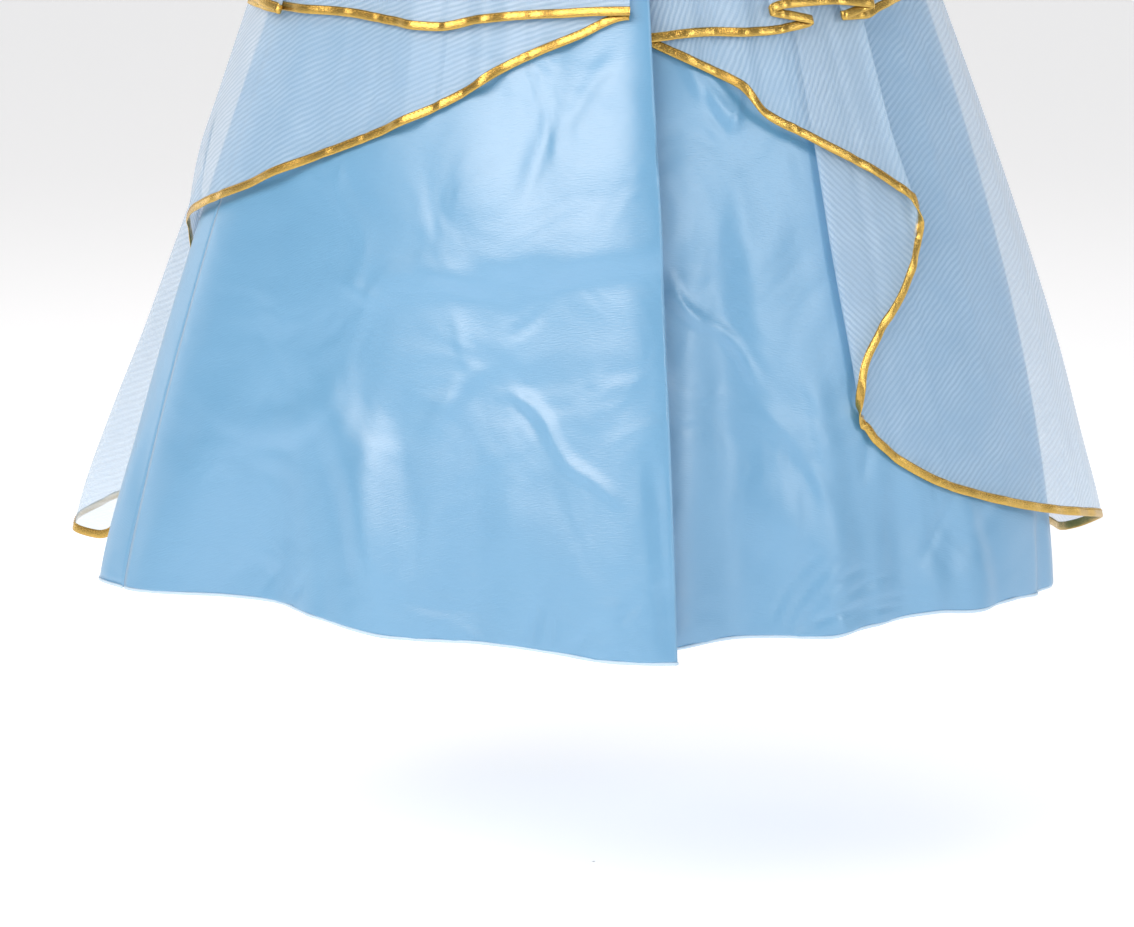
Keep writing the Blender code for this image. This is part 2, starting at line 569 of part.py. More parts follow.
for name, cloth in TIERS.items():
    wall(name, [cloth.panel(EDGE_ABOVE_BINDING_MIDDLE)], ORGANZA_WALL, organza(name))
    band = cloth.band(EDGE_ABOVE_BINDING_MIDDLE, BINDING_GAP + BINDING_WIDTH * np.array(BINDING_ROWS))
    binding = name.replace("overskirt", "binding")
    wall(binding, [band], BINDING_WALL, gold(binding))

half_gap = np.degrees(SEAM_GAP / 2 / WAIST_HALF_WIDTH)
wall("bodice_front", [bodice_half(side, FRONT, NECK_FRONT, 90 - half_gap) for side in (-1, 1)],
     BODICE_WALL, satin("bodice_front"))
wall("bodice_back_left", [bodice_half(-1, BACK, NECK_BACK, 90 - half_gap, CLOSURE_LIFT)],
     BODICE_WALL, satin("bodice_back_left"))
wall("bodice_back_right", [bodice_half(1, BACK, NECK_BACK, 90 - half_gap)],
     BODICE_WALL, satin("bodice_back_right"))
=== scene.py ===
"""Princess costume dress in light blue satin, with two tiers of sheer organza edged in gold.

It is put together as a maker would: the satin skirt panels and their hems, the organza tiers, the gold bindings
and their stitching, the bodice, and then the studio. Lengths are in metres and angles in degrees.
"""

import bpy
import numpy as np
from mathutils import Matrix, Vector


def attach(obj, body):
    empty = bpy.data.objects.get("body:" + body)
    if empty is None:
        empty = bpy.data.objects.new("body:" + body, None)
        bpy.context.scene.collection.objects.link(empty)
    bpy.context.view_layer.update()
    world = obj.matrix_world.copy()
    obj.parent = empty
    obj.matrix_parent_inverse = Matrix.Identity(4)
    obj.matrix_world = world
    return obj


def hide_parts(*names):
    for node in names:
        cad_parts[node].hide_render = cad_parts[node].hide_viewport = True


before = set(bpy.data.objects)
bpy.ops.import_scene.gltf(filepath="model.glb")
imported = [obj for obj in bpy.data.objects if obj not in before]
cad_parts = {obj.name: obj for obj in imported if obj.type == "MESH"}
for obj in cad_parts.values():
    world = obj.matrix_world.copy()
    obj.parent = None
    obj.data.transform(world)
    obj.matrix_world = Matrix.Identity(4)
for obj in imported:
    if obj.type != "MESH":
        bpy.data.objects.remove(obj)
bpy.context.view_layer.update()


# The satin skirt: a front with a knife pleat and two backs, cut from light blue polyester satin. The panels
# flare from the waist to the hem and hang in soft billows and short creases. Each is a thin shell, woven on
# its own grain, and is sewn to the next at a plain seam.
WAIST_Z = -0.335
SKIRT_LENGTH = 0.68
WAIST_HALF_WIDTH = 0.118
WAIST_HALF_DEPTH = 0.092
HEM_SWAY = -0.022
SWAY_POWER = 1.3
BELL_MEAN = 1.37
BELL_SIDE = 0.17
SIDE_SEAM = 95.0
BACK_SEAM = 180.0
SEAM_GAP = 0.0003
SATIN_THICKNESS = 0.0005
TURN_SHARE = 0.08
TINY = 0.0001

# Plan of the hem, about the swayed centre: angle, radius.
HEM_PLAN = (
    (-180, 0.332), (-160, 0.340), (-145, 0.345), (-120, 0.346), (-112, 0.348), (-104, 0.347),
    (-95, 0.331), (-80, 0.285), (-62, 0.252), (-45, 0.238), (-20, 0.232), (0, 0.228), (20, 0.226),
    (35, 0.238), (50, 0.262), (64, 0.293), (76, 0.314), (90, 0.322), (104, 0.330), (120, 0.345),
    (135, 0.355), (155, 0.345), (180, 0.332),
)

# Flutes of the skirt: angle, half width, depth outwards, drop where it starts, drop where it is full.
SATIN_FOLDS = (
    (-160, 14, -0.016, 0.45, 1.00), (-135, 10, 0.010, 0.50, 1.00), (-100, 7, 0.006, 0.78, 1.00),
    (-77, 17, -0.026, 0.74, 1.02), (-52, 9, 0.006, 0.70, 1.00), (-33, 10, -0.007, 0.62, 1.00),
    (13, 12, -0.011, 0.45, 1.00), (31, 7, 0.005, 0.70, 1.00), (44, 6, -0.006, 0.78, 1.00),
    (56, 5, 0.006, 0.82, 1.00), (73, 4, -0.006, 0.84, 1.00), (118, 11, -0.014, 0.50, 1.00),
    (141, 9, 0.009, 0.55, 1.00), (163, 11, -0.015, 0.45, 1.00),
)
FOLD_START_WIDTH = 0.45

# Knife pleat: drop, lift of its edge, depth of the return there and at its inner fold.
FRONT_PLEAT = (
    (0.00, 0.0085, 0.0016, 0.0018), (0.20, 0.0160, 0.0022, 0.0026), (0.42, 0.0205, 0.0030, 0.0040),
    (0.60, 0.0225, 0.0034, 0.0090), (0.80, 0.0255, 0.0038, 0.0140), (1.05, 0.0290, 0.0040, 0.0175),
)
PLEAT_FADE = 26.0
PLEAT_DEPTH = ((0.0, -6.5), (0.45, -6.5), (1.05, -9.0))

# Cut edges: leg of the folded path, angle, drop.
SATIN_FRONT_HEM = (
    (0, -95, 0.993), (0, -90, 0.990), (0, -82, 0.985), (0, -71, 0.984), (0, -63, 0.985), (0, -54, 0.988),
    (0, -45, 0.993), (0, -27, 0.993), (0, -18, 0.996), (0, -10, 1.000), (0, 0, 1.001), (1, -4, 0.999),
    (2, 0, 0.996), (2, 5, 0.994), (2, 12, 0.993), (2, 20, 0.994), (2, 29, 0.998), (2, 35, 0.994),
    (2, 42, 0.992), (2, 49, 0.989), (2, 55, 0.993), (2, 63, 0.992), (2, 74, 0.998), (2, 95, 0.999),
)
SATIN_BACK_LEFT_HEM = ((0, -180, 0.990), (0, -150, 0.995), (0, -125, 0.998), (0, -108, 0.997), (0, -95, 0.993))
SATIN_BACK_RIGHT_HEM = ((0, 95, 0.999), (0, 115, 0.998), (0, 140, 0.994), (0, 165, 0.991), (0, 180, 0.990))

# Creases and billows are placed as they appear from a viewer this high above the skirt, this far off, looking
# from this side. Each runs between two points, in millimetres across from the middle and up from the hem as it
# shows in front, and has a half width above it, a half width below it and a height, in millimetres, and a bow.
VIEW_RISE = 10.5
VIEW_DISTANCE = 3.6
NEAR_HEM_BELOW = 51.0
FRONT_VIEW = -11.0
BACK_VIEW = 169.0
HEM_Z = WAIST_Z - SKIRT_LENGTH

BILLOWS = (
    (-122, 274, 40, 296, 125, 30, 8.5, 0),
    (-105, 190, -20, 180, 40, 60, -2.2, 0),
    (-300, 120, -262, 330, 50, 28, 2.5, 0),
    (-234, 196, -206, 20, 36, 34, -5.5, 0),
    (-181, 172, -150, 36, 36, 24, 6.5, 4),
    (-270, 160, -284, 54, 26, 16, 3.4, 0),
    (-266, 168, -192, 172, 24, 14, 3.0, -14),
    (-250, 250, -150, 262, 60, 40, 2.2, 0),
    (-60, 95, 10, 60, 40, 40, 2.0, 0),
    (100, 330, 130, 210, 34, 34, 2.4, 0),
    (95, 120, 160, 80, 40, 36, 2.6, 0),
    (180, 100, 260, 85, 30, 30, -1.6, 0),
    (210, 40, 300, 60, 26, 26, 2.4, 0),
)
CREASES = (
    (-115, 272, -60, 252, 16, 9, 1.8, 0),
    (-60, 252, -3, 280, 16, 10, 1.7, 0),
    (-62, 226, -31, 250, 5, 6, -1.0, -3),
    (-62, 184, -34, 163, 11, 5, 2.2, 3),
    (-34, 163, -17, 135, 10, 5, 2.4, -2),
    (-17, 135, 11, 115, 9, 5, 2.2, 2),
    (-66, 186, -40, 152, 7, 4, -0.9, 2),
    (-115, 163, -80, 202, 12, 12, 1.6, 3),
    (-97, 232, -88, 200, 8, 8, 1.0, 0),
    (-48, 330, -26, 390, 12, 10, -1.6, 0),
    (-20, 375, 10, 425, 9, 9, -1.4, 0),
    (-178, 264, -150, 248, 11, 8, 1.4, 0),
    (-318, 213, -296, 198, 10, 5, 1.6, 0),
    (-247, 150, -225, 130, 14, 10, 1.4, 0),
    (36, 140, 46, 12, 9, 9, -1.5, 0),
    (52, 268, 62, 246, 6, 6, 1.4, 0),
    (45, 262, 75, 232, 7, 5, 1.6, 0),
    (60, 246, 100, 222, 7, 6, 1.5, 0),
    (88, 230, 112, 195, 6, 8, 1.8, 2),
    (102, 395, 96, 372, 5, 5, 1.2, 0),
    (62, 420, 105, 372, 9, 9, 1.5, -4),
    (74, 405, 92, 368, 6, 6, -1.0, -2),
    (120, 170, 145, 150, 14, 12, 1.8, 0),
    (138, 150, 160, 112, 9, 7, 1.3, 2),
    (196, 168, 190, 128, 5, 7, -1.2, 0),
    (250, 108, 232, 70, 7, 5, -1.6, 0),
    (300, 122, 268, 84, 12, 9, -2.0, 0),
    (318, 100, 300, 66, 7, 6, -1.6, 0),
    (124, 20, 158, 72, 5, 4, -0.8, 6),
    (134, 20, 172, 68, 4, 4, -0.7, 5),
    (146, 22, 188, 62, 4, 4, -0.8, 5),
    (160, 25, 204, 56, 4, 4, -0.7, 4),
    (150, 20, 228, 44, 4, 4, -0.8, 4),
    (136, 17, 206, 34, 4, 3, -0.7, 3),
    (176, 24, 238, 38, 4, 3, -0.7, 3),
    (-256, 50, -244, 66, 6, 6, -1.2, 0),
    (-236, 44, -226, 60, 5, 6, -1.2, 0),
    (-216, 38, -210, 54, 6, 5, -1.0, 0),
    (-45, 12, -40, 36, 6, 6, -1.4, 0),
    (-30, 10, -28, 30, 5, 5, -1.2, 0),
    (-14, 8, -2, 24, 6, 6, -1.2, 0),
    (16, 30, 26, 46, 5, 5, -1.0, 0),
)
BACK_CREASES = (
    (-190, 300, -60, 280, 60, 30, 3.5, 0),
    (-40, 250, 120, 262, 70, 34, 3.5, 0),
    (130, 180, 230, 150, 40, 30, 2.5, 0),
    (-240, 170, -120, 140, 40, 30, 2.5, 0),
    (-110, 120, -70, 40, 24, 24, -2.0, 0),
    (70, 130, 92, 30, 24, 24, -2.2, 0),
    (-20, 170, 30, 130, 10, 6, 2.0, 3),
    (-70, 210, -30, 232, 8, 8, -1.2, 0),
    (150, 60, 176, 22, 6, 6, -1.5, 0),
    (-180, 62, -150, 20, 6, 6, -1.5, 0),
    (200, 240, 250, 200, 9, 7, 1.6, 0),
)


def smooth(share):
    """Soft step of a share, from 0 to 1."""
    share = np.clip(share, 0.0, 1.0)
    return share * share * (3.0 - 2.0 * share)


def grown(at, span):
    """How far something has grown at a drop or an angle: a soft step from where it starts, over its length."""
    start, length = span
    return smooth((at - start) / length)


def curve(at, rows, column=1, level_ends=True):
    """Smooth curve through a table's rows: cubic between them, with slopes that never overshoot."""
    rows = np.array(rows, float)
    if len(rows) == 1:
        return np.full_like(np.asarray(at, float), rows[0, column])
    knots, values = rows[:, 0], rows[:, column]
    step = np.diff(knots)
    rise = np.diff(values) / step
    slope = np.zeros_like(values)
    product = rise[:-1] * rise[1:]
    slope[1:-1] = np.where(product > 0, 2.0 * product / np.where(product > 0, rise[:-1] + rise[1:], 1.0), 0.0)
    if not level_ends:
        slope[0], slope[-1] = rise[0], rise[-1]
    at = np.clip(np.asarray(at, float), knots[0], knots[-1])
    i = np.clip(np.searchsorted(knots, at) - 1, 0, len(step) - 1)
    s = (at - knots[i]) / step[i]
    return (values[i] * (1 + 2 * s) * (1 - s) ** 2 + slope[i] * step[i] * s * (1 - s) ** 2
            + values[i + 1] * s * s * (3 - 2 * s) + slope[i + 1] * step[i] * s * s * (s - 1))


def satin_radius(angle, drop):
    """Radius of the satin: a bell from the oval waist to the hem's plan, with its flutes."""
    turn = np.radians(angle)
    waist = WAIST_HALF_WIDTH * WAIST_HALF_DEPTH / np.hypot(
        WAIST_HALF_DEPTH * np.sin(turn), WAIST_HALF_WIDTH * np.cos(turn))
    bell = BELL_MEAN + BELL_SIDE * np.sin(turn)
    radius = waist + (curve(angle, HEM_PLAN) - waist) * (1 - (1 - np.clip(drop, 0, 1)) ** bell)
    for centre, half_width, depth, start, full in SATIN_FOLDS:
        share = smooth((drop - start) / (full - start))
        width = half_width * (FOLD_START_WIDTH + (1 - FOLD_START_WIDTH) * share)
        radius = radius + depth * share * smooth(1 - np.abs(angle - centre) / width)
    return radius


def place(angle, drop, lift):
    """Point at an angle, a drop and a lift off the satin: polar about a centre that sways forward."""
    turn = np.radians(angle)
    reach = satin_radius(angle, drop) + lift
    sway = HEM_SWAY * np.clip(drop, 0, 1) ** SWAY_POWER
    return np.stack([reach * np.sin(turn), sway - reach * np.cos(turn), WAIST_Z - SKIRT_LENGTH * drop], -1)


def creased(angle, drop, view, rows):
    """Lift from creases seen from one side: each is its height, fading across and along its bowed line."""
    x, y, z = np.moveaxis(place(angle, drop, 0.0), -1, 0)
    turn, rise = np.radians(-view), np.radians(VIEW_RISE)
    deep = x * np.sin(turn) + y * np.cos(turn)
    away = VIEW_DISTANCE + deep * np.cos(rise) - (z - HEM_Z) * np.sin(rise)
    scale = VIEW_DISTANCE / away * 1000
    across = (x * np.cos(turn) - y * np.sin(turn)) * scale
    up = (deep * np.sin(rise) + (z - HEM_Z) * np.cos(rise)) * scale + NEAR_HEM_BELOW
    facing = smooth(1.6 * np.cos(np.radians(angle - view)))
    total = np.zeros_like(across)
    for x1, y1, x2, y2, above, below, height, bow in rows:
        length = np.hypot(x2 - x1, y2 - y1)
        run = ((across - x1) * (x2 - x1) + (up - y1) * (y2 - y1)) / length ** 2
        side = ((up - y1) * (x2 - x1) - (across - x1) * (y2 - y1)) / length
        side = side - bow * 4 * run * (1 - run)
        width = np.where(side > 0, above, below)
        end = min(above + below, 0.5 * length) / length
        along = smooth(1 - np.maximum(np.abs(run - 0.5) - 0.5 + end, 0) / (2 * end))
        total += height / 1000 * smooth(1 - np.abs(side) / width) * along
    return total * facing


def satin_relief(angle, drop):
    """Billows and creases of the satin, seen from the front and from the back."""
    return (creased(angle, drop, FRONT_VIEW, BILLOWS + CREASES)
            + creased(np.where(angle < 0, angle + 360, angle), drop, BACK_VIEW, BACK_CREASES))


def pleat_lift(angle, drop):
    """Lift of the left front of the satin as it rises to the pleat's edge."""
    return curve(drop, FRONT_PLEAT, 1) * smooth((angle + PLEAT_FADE) / PLEAT_FADE)


def pleat_top(angle, drop):
    """The left front with its relief."""
    return pleat_lift(angle, drop) + satin_relief(angle, drop)


def pleat_return(angle, drop):
    """The return under the pleat, from its edge to its inner fold."""
    share = np.clip(angle / curve(drop, PLEAT_DEPTH), 0, 1)
    under = curve(drop, FRONT_PLEAT, 2) * (1 - share) + curve(drop, FRONT_PLEAT, 3) * share
    return pleat_top(angle, drop) - under


def seam_edge(angle, side):
    """Edge at a seam, half a seam gap to one side of its angle at every drop."""
    drops = np.linspace(0, 1, 6)
    share = np.degrees(0.5 * SEAM_GAP / satin_radius(np.full(6, float(angle)), drops))
    return tuple((d, angle + side * s) for d, s in zip(drops, share))


class FoldedCloth:
    """Cloth that runs round the skirt in legs, each turned back over the last by a round fold.

    A place along it is q: leg k lies between k and k + 1, and each fold turns half a circle about its q.
    """

    def __init__(self, edges, lifts, hem):
        self.edges = edges
        self.lifts = lifts
        self.legs = len(lifts)
        self.hem = [(self.place_of(leg, angle, drop), drop) for leg, angle, drop in hem]

    def leg_ends(self, leg, drop):
        """Angles where the straight part of a leg starts and ends, and the half turns there."""
        first, last = curve(drop, self.edges[leg]), curve(drop, self.edges[leg + 1])
        way = np.sign(last - first)
        before, after = self.half_turn(leg, first, drop), self.half_turn(leg + 1, last, drop)
        return first + way * before[0], last - way * after[0], before, after

    def half_turn(self, fold, angle, drop):
        """A fold's radius in degrees and in metres, 0 at the two ends of the cloth."""
        if fold == 0 or fold == self.legs:
            return 0 * drop, 0 * drop
        apart = self.lifts[fold - 1](angle, drop) - self.lifts[fold](angle, drop)
        return np.degrees(np.abs(apart) / 2 / satin_radius(angle, drop)), apart / 2

    def shares(self, leg):
        """Shares of a leg at which its straight part starts and ends."""
        return TURN_SHARE if leg > 0 else 0.0, 1 - TURN_SHARE if leg < self.legs - 1 else 1.0

    def spot(self, q, drop):
        """Angle and lift at q and a drop: straight along each leg, half circles between them."""
        q, drop = np.broadcast_arrays(np.asarray(q, float), np.asarray(drop, float))
        angle, lift = np.zeros_like(q), np.zeros_like(q)
        for leg in range(self.legs):
            mine = (np.clip(np.floor(q), 0, self.legs - 1) == leg)
            share, at = q[mine] - leg, drop[mine]
            start, end, before, after = self.leg_ends(leg, at)
            way = np.sign(end - start)
            low, high = self.shares(leg)
            here = start + (end - start) * np.clip((share - low) / (high - low), 0, 1)
            out = self.lifts[leg](here, at)
            if leg > 0:
                turn = np.pi * (0.5 + 0.5 * np.clip(share / TURN_SHARE, 0, 1))
                turning = share < low
                here = np.where(turning, start - way * before[0] * np.sin(turn), here)
                out = np.where(turning, self.lifts[leg](start, at) + before[1] * (1 + np.cos(turn)), out)
            if leg < self.legs - 1:
                turn = 0.5 * np.pi * np.clip((share - high) / TURN_SHARE, 0, 1)
                turning = share > high
                here = np.where(turning, end + way * after[0] * np.sin(turn), here)
                out = np.where(turning, self.lifts[leg](end, at) - after[1] * (1 - np.cos(turn)), out)
            angle[mine], lift[mine] = here, out
        return angle, lift

    def point(self, q, drop):
        """Point of the cloth at q and a drop."""
        angle, lift = self.spot(q, drop)
        return place(angle, np.broadcast_to(drop, angle.shape), lift)

    def place_of(self, leg, angle, drop):
        """The q of an angle on a leg."""
        start, end, before, after = self.leg_ends(leg, np.float64(drop))
        low, high = self.shares(leg)
        share = (angle - start) / (end - start)
        if share < 0 and leg > 0:
            return float(leg)
        if share > 1 and leg < self.legs - 1:
            return float(leg + 1)
        return float(leg + low + (high - low) * np.clip(share, 0, 1))

    def stations(self, columns, turn_columns):
        """Places of a mesh's columns: even along each leg, and closer round each fold."""
        places = []
        for leg, count in enumerate(columns):
            low, high = self.shares(leg)
            places.append(np.linspace(leg + low, leg + high, count, endpoint=leg == self.legs - 1))
            if leg < self.legs - 1:
                places.append(np.linspace(leg + high, leg + high + 2 * TURN_SHARE, turn_columns, endpoint=False))
        return np.concatenate(places)

    def edge_drop(self, q):
        """Drop of the cut edge at q."""
        return curve(q, self.hem)

    def out(self, q, drop):
        """The way out of the cloth at q and a drop: across both of its directions."""
        q, drop = np.broadcast_arrays(q, drop)
        along = self.point(np.minimum(q + TINY, self.legs), drop) - self.point(np.maximum(q - TINY, 0), drop)
        down = self.point(q, drop + TINY) - self.point(q, drop - TINY)
        out = np.cross(down, along)
        return out / np.linalg.norm(out, axis=-1, keepdims=True)

    def developed(self, q, drop):
        """The cloth laid flat, in metres: a sector of the cone that the skirt is nearest to."""
        ends = [float(curve(0.5, edge)) for edge in self.edges]
        run = np.concatenate([[0], np.cumsum(np.abs(np.diff(ends)))])
        turn = np.radians(np.interp(q, np.arange(self.legs + 1), run) - run[-1] / 2) * CONE_SHARE
        reach = CONE_START + SKIRT_LENGTH / CONE_SLOPE * drop
        return np.stack([reach * np.sin(turn), -reach * np.cos(turn)], -1)


CONE_SHARE = 0.31
CONE_SLOPE = 0.95
CONE_START = 0.34


def mesh_piece(name, points, faces, finish, flat=None):
    """A smooth mesh from points and faces, with the cloth's own flat layout, in metres, as its UV map."""
    mesh = bpy.data.meshes.new(name)
    mesh.from_pydata(points.reshape(-1, 3).tolist(), [], faces.tolist())
    mesh.shade_smooth()
    if flat is not None:
        layer = mesh.uv_layers.new(name="cloth")
        corners = np.empty(len(mesh.loops), np.int32)
        mesh.loops.foreach_get("vertex_index", corners)
        layer.data.foreach_set("uv", flat.reshape(-1, 2)[corners].astype(np.float32).ravel())
    mesh.materials.append(finish)
    piece = bpy.data.objects.new(name, mesh)
    bpy.context.scene.collection.objects.link(piece)
    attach(piece, "root")
    return piece


def grid_faces(rows, columns, closed=False):
    """Faces of a grid of points, whose columns join up if it is closed."""
    number = np.arange(rows * columns).reshape(rows, columns)
    if closed:
        number = np.concatenate([number, number[:, :1]], 1)
    corners = number[:-1, :-1], number[1:, :-1], number[1:, 1:], number[:-1, 1:]
    return np.stack(corners, -1).reshape(-1, 4)


def thicken(piece, thickness):
    """Gives a shell its thickness, half to each side."""
    shell = piece.modifiers.new("thickness", "SOLIDIFY")
    shell.thickness = thickness
    shell.offset = 0.0


def linear(code):
    """Linear colour of an sRGB hex value."""
    shown = np.array([int(code[i:i + 2], 16) for i in (1, 3, 5)]) / 255
    return tuple(np.where(shown <= 0.04045, shown / 12.92, ((shown + 0.055) / 1.055) ** 2.4)) + (1.0,)


def new_material(name):
    """An empty material, and its Principled shader."""
    made = bpy.data.materials.new(name)
    made.use_nodes = True
    return made, made.node_tree.nodes["Principled BSDF"]


def add_node(material, kind, settings=(), **links):
    """A node with its settings, and its inputs either set or linked; an input's spaces are underscores."""
    node = material.node_tree.nodes.new(kind)
    for key, value in dict(settings).items():
        setattr(node, key, value)
    for key, value in links.items():
        name = key.replace("_", " ")
        socket = node.inputs[int(key[1:])] if key[0] == "i" and key[1:].isdigit() else node.inputs[name]
        if isinstance(value, bpy.types.NodeSocket):
            material.node_tree.links.new(value, socket)
        else:
            socket.default_value = value
    return node


# Polyester charmeuse satin, woven with long floats and calendered: a soft broad gloss over a light blue ground.
# Its threads are 0.1 mm apart, drawn here at 0.9 mm so that their faint grain shows.
SATIN_BLUE = "#5C9DC8"
SATIN_DEEP = "#5294C0"
SATIN_THREAD = 0.0009
SATIN_EASE = 0.085
SATIN_EASE_HEIGHT = 0.005


def satin_finish(name):
    """Satin on its cloth's own layout."""
    made, shader = new_material(name)
    shader.inputs["Roughness"].default_value = 0.43
    shader.inputs["IOR"].default_value = 1.7
    shader.inputs["Specular IOR Level"].default_value = 1.0
    shader.inputs["Sheen Weight"].default_value = 0.25
    shader.inputs["Sheen Roughness"].default_value = 0.35
    place_on = add_node(made, "ShaderNodeUVMap", {"uv_map": "cloth"}).outputs["UV"]
    mottle = add_node(made, "ShaderNodeTexNoise", Vector=place_on, Scale=14.0, Detail=3.0)
    tint = add_node(made, "ShaderNodeMix", {"data_type": "RGBA"}, i0=mottle.outputs["Fac"],
                    i6=linear(SATIN_BLUE), i7=linear(SATIN_DEEP))
    made.node_tree.links.new(tint.outputs[2], shader.inputs["Base Color"])
    stretch = add_node(made, "ShaderNodeMapping", Vector=place_on, Scale=(1.0, 6.0, 1.0))
    threads = add_node(made, "ShaderNodeTexNoise", Vector=stretch.outputs["Vector"],
                       Scale=1 / (6 * SATIN_THREAD), Detail=2.0)
    ease = add_node(made, "ShaderNodeTexNoise", Vector=place_on, Scale=1 / SATIN_EASE, Detail=2.0, Roughness=0.4,
                    Distortion=0.8)
    waves = add_node(made, "ShaderNodeBump", Height=ease.outputs["Fac"], Strength=1.0, Distance=SATIN_EASE_HEIGHT)
    grain = add_node(made, "ShaderNodeBump", Height=threads.outputs["Fac"], Strength=0.35, Distance=0.0004,
                     Normal=waves.outputs["Normal"])
    made.node_tree.links.new(grain.outputs["Normal"], shader.inputs["Normal"])
    return made


satin = satin_finish("polyester_satin")
SATIN_ROWS = ((0.0, 0.40, 22), (0.40, 0.84, 72), (0.84, 1.0, 46))
BACK_ROWS = ((0.0, 0.40, 20), (0.40, 1.0, 66))


def shares_down(rows):
    """Shares of the way down: table of where a stretch starts and ends, and its rows."""
    parts = [np.linspace(start, end, count, endpoint=False) for start, end, count in rows]
    return np.concatenate(parts + [[1.0]])[:, None]


def hanging_piece(name, cloth, columns, turn_columns, down, finish):
    """A piece that hangs from the waist to its cut edge, its rows at shares of each column's length."""
    q = cloth.stations(columns, turn_columns)[None, :]
    drop = down * cloth.edge_drop(q)
    q, drop = np.broadcast_arrays(q, drop)
    return mesh_piece(name, cloth.point(q, drop), grid_faces(*q.shape), finish, cloth.developed(q, drop))


def edge_roll(name, path, out, half_width, half_depth, finish):
    """A closed roll of oval section about a path, its sections square to it, drawn to a point at each end."""
    along = np.gradient(path, axis=0)
    along /= np.linalg.norm(along, axis=-1, keepdims=True)
    across = np.cross(along, out)
    across /= np.linalg.norm(across, axis=-1, keepdims=True)
    turn = np.linspace(0, 2 * np.pi, ROLL_SIDES, endpoint=False)
    size = np.ones(len(path))
    size[0] = size[-1] = ROLL_END
    ring = (across[:, None] * np.cos(turn)[None, :, None] * half_width
            + np.cross(across, along)[:, None] * np.sin(turn)[None, :, None] * half_depth)
    points = path[:, None] + ring * size[:, None, None]
    return mesh_piece(name, points, grid_faces(len(path), ROLL_SIDES, closed=True), finish)


ROLL_SIDES = 8
ROLL_END = 0.05
HEM_ROLL_HALF_WIDTH = 0.0011
HEM_ROLL_HALF_DEPTH = 0.0008
HEM_RIPPLE = 0.0004

# Overlocked hem: fine polyester thread wrapped over the cut edge, a shade lighter than the satin. Its stitches
# lie 1.2 mm apart across the edge.
HEM_THREAD = "#BCD6EA"
HEM_STITCH = 0.0012


def overlock_finish(name):
    """Thread wrapped across an edge, its turns along the object's Z and round."""
    made, shader = new_material(name)
    shader.inputs["Base Color"].default_value = linear(HEM_THREAD)
    shader.inputs["Roughness"].default_value = 0.6
    shader.inputs["Sheen Weight"].default_value = 0.4
    spot = add_node(made, "ShaderNodeTexCoord").outputs["Object"]
    turns = add_node(made, "ShaderNodeTexNoise", Vector=spot, Scale=1 / HEM_STITCH, Detail=1.0)
    rise = add_node(made, "ShaderNodeBump", Height=turns.outputs["Fac"], Strength=0.6, Distance=0.0005)
    made.node_tree.links.new(rise.outputs["Normal"], shader.inputs["Normal"])
    return made


overlock = overlock_finish("overlock_thread")

SKIRT = {
    "skirt_front": (FoldedCloth(
        (seam_edge(-SIDE_SEAM, 1), ((0, 0.0),), PLEAT_DEPTH, seam_edge(SIDE_SEAM, -1)),
        (pleat_top, pleat_return, satin_relief), SATIN_FRONT_HEM), (145, 5, 145), 10, SATIN_ROWS, (1.02, 0.70), 0.508),
    "skirt_back_left": (FoldedCloth(
        (seam_edge(-BACK_SEAM, 1), seam_edge(-SIDE_SEAM, -1)), (satin_relief,), SATIN_BACK_LEFT_HEM),
        (110,), 0, BACK_ROWS, (0.52, 0.70), 0.251),
    "skirt_back_right": (FoldedCloth(
        (seam_edge(SIDE_SEAM, 1), seam_edge(BACK_SEAM, -1)), (satin_relief,), SATIN_BACK_RIGHT_HEM),
        (110,), 0, BACK_ROWS, (0.52, 0.70), 0.260),
}
for name, (cloth, columns, turn_columns, rows, flat, area) in SKIRT.items():
    piece = hanging_piece(name + "_satin", cloth, columns, turn_columns, shares_down(rows), satin)
    thicken(piece, SATIN_THICKNESS)
    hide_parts(name)
    q = cloth.stations([3 * count for count in columns], 3 * turn_columns)
    drop = cloth.edge_drop(q)
    out = cloth.out(q, drop)
    ripple = HEM_RIPPLE * np.sin(q * 61.0 + 2 * np.sin(q * 23.0))[:, None]
    roll = edge_roll(name + "_hem", cloth.point(q, drop) + out * ripple, out, HEM_ROLL_HALF_WIDTH,
                     HEM_ROLL_HALF_DEPTH, overlock)


# The organza tiers: a long one cut short at the front and a short one over it, each of a left and a right half
# gathered into the waist seam. The cloth is crisp and sheer, so it stands off the satin in soft flutes, and the
# right halves lie in a few deep folds. Each half is one sheet of cloth with its folds in it.
LAYER_STEP = 0.0034
LAYER_WAIST_SHARE = 0.52
FOLD_OPENING = 0.0022
LONG_LIFT = 0.0042
SHORT_LIFT = 0.0046
LIFT_WAIST_SHARE = 0.45
CLEAR_OF_WAIST = (0.00, 0.25)
FOLDS_OPEN = (0.40, 0.25)
FRONT_CUT_AWAY = (0.54, 0.14)
GATHERS_OPEN = (0.06, 0.30)
OVER_RIGHT_FOLD = (13.0, 17.0)
OFF_RIGHT_FOLD = (55.0, 11.0)

# Gentle gathers: angle, half width, height.
ORGANZA_GATHERS = (
    (-165, 7, 0.006), (-147, 6, 0.005), (-80, 6, 0.004), (-53, 6, 0.005), (-36, 5, 0.005), (-19, 6, 0.003),
    (9, 5, 0.003), (21, 5, 0.005), (74, 6, 0.004), (103, 6, 0.005), (124, 7, 0.006), (146, 7, 0.006),
    (166, 6, 0.005),
)
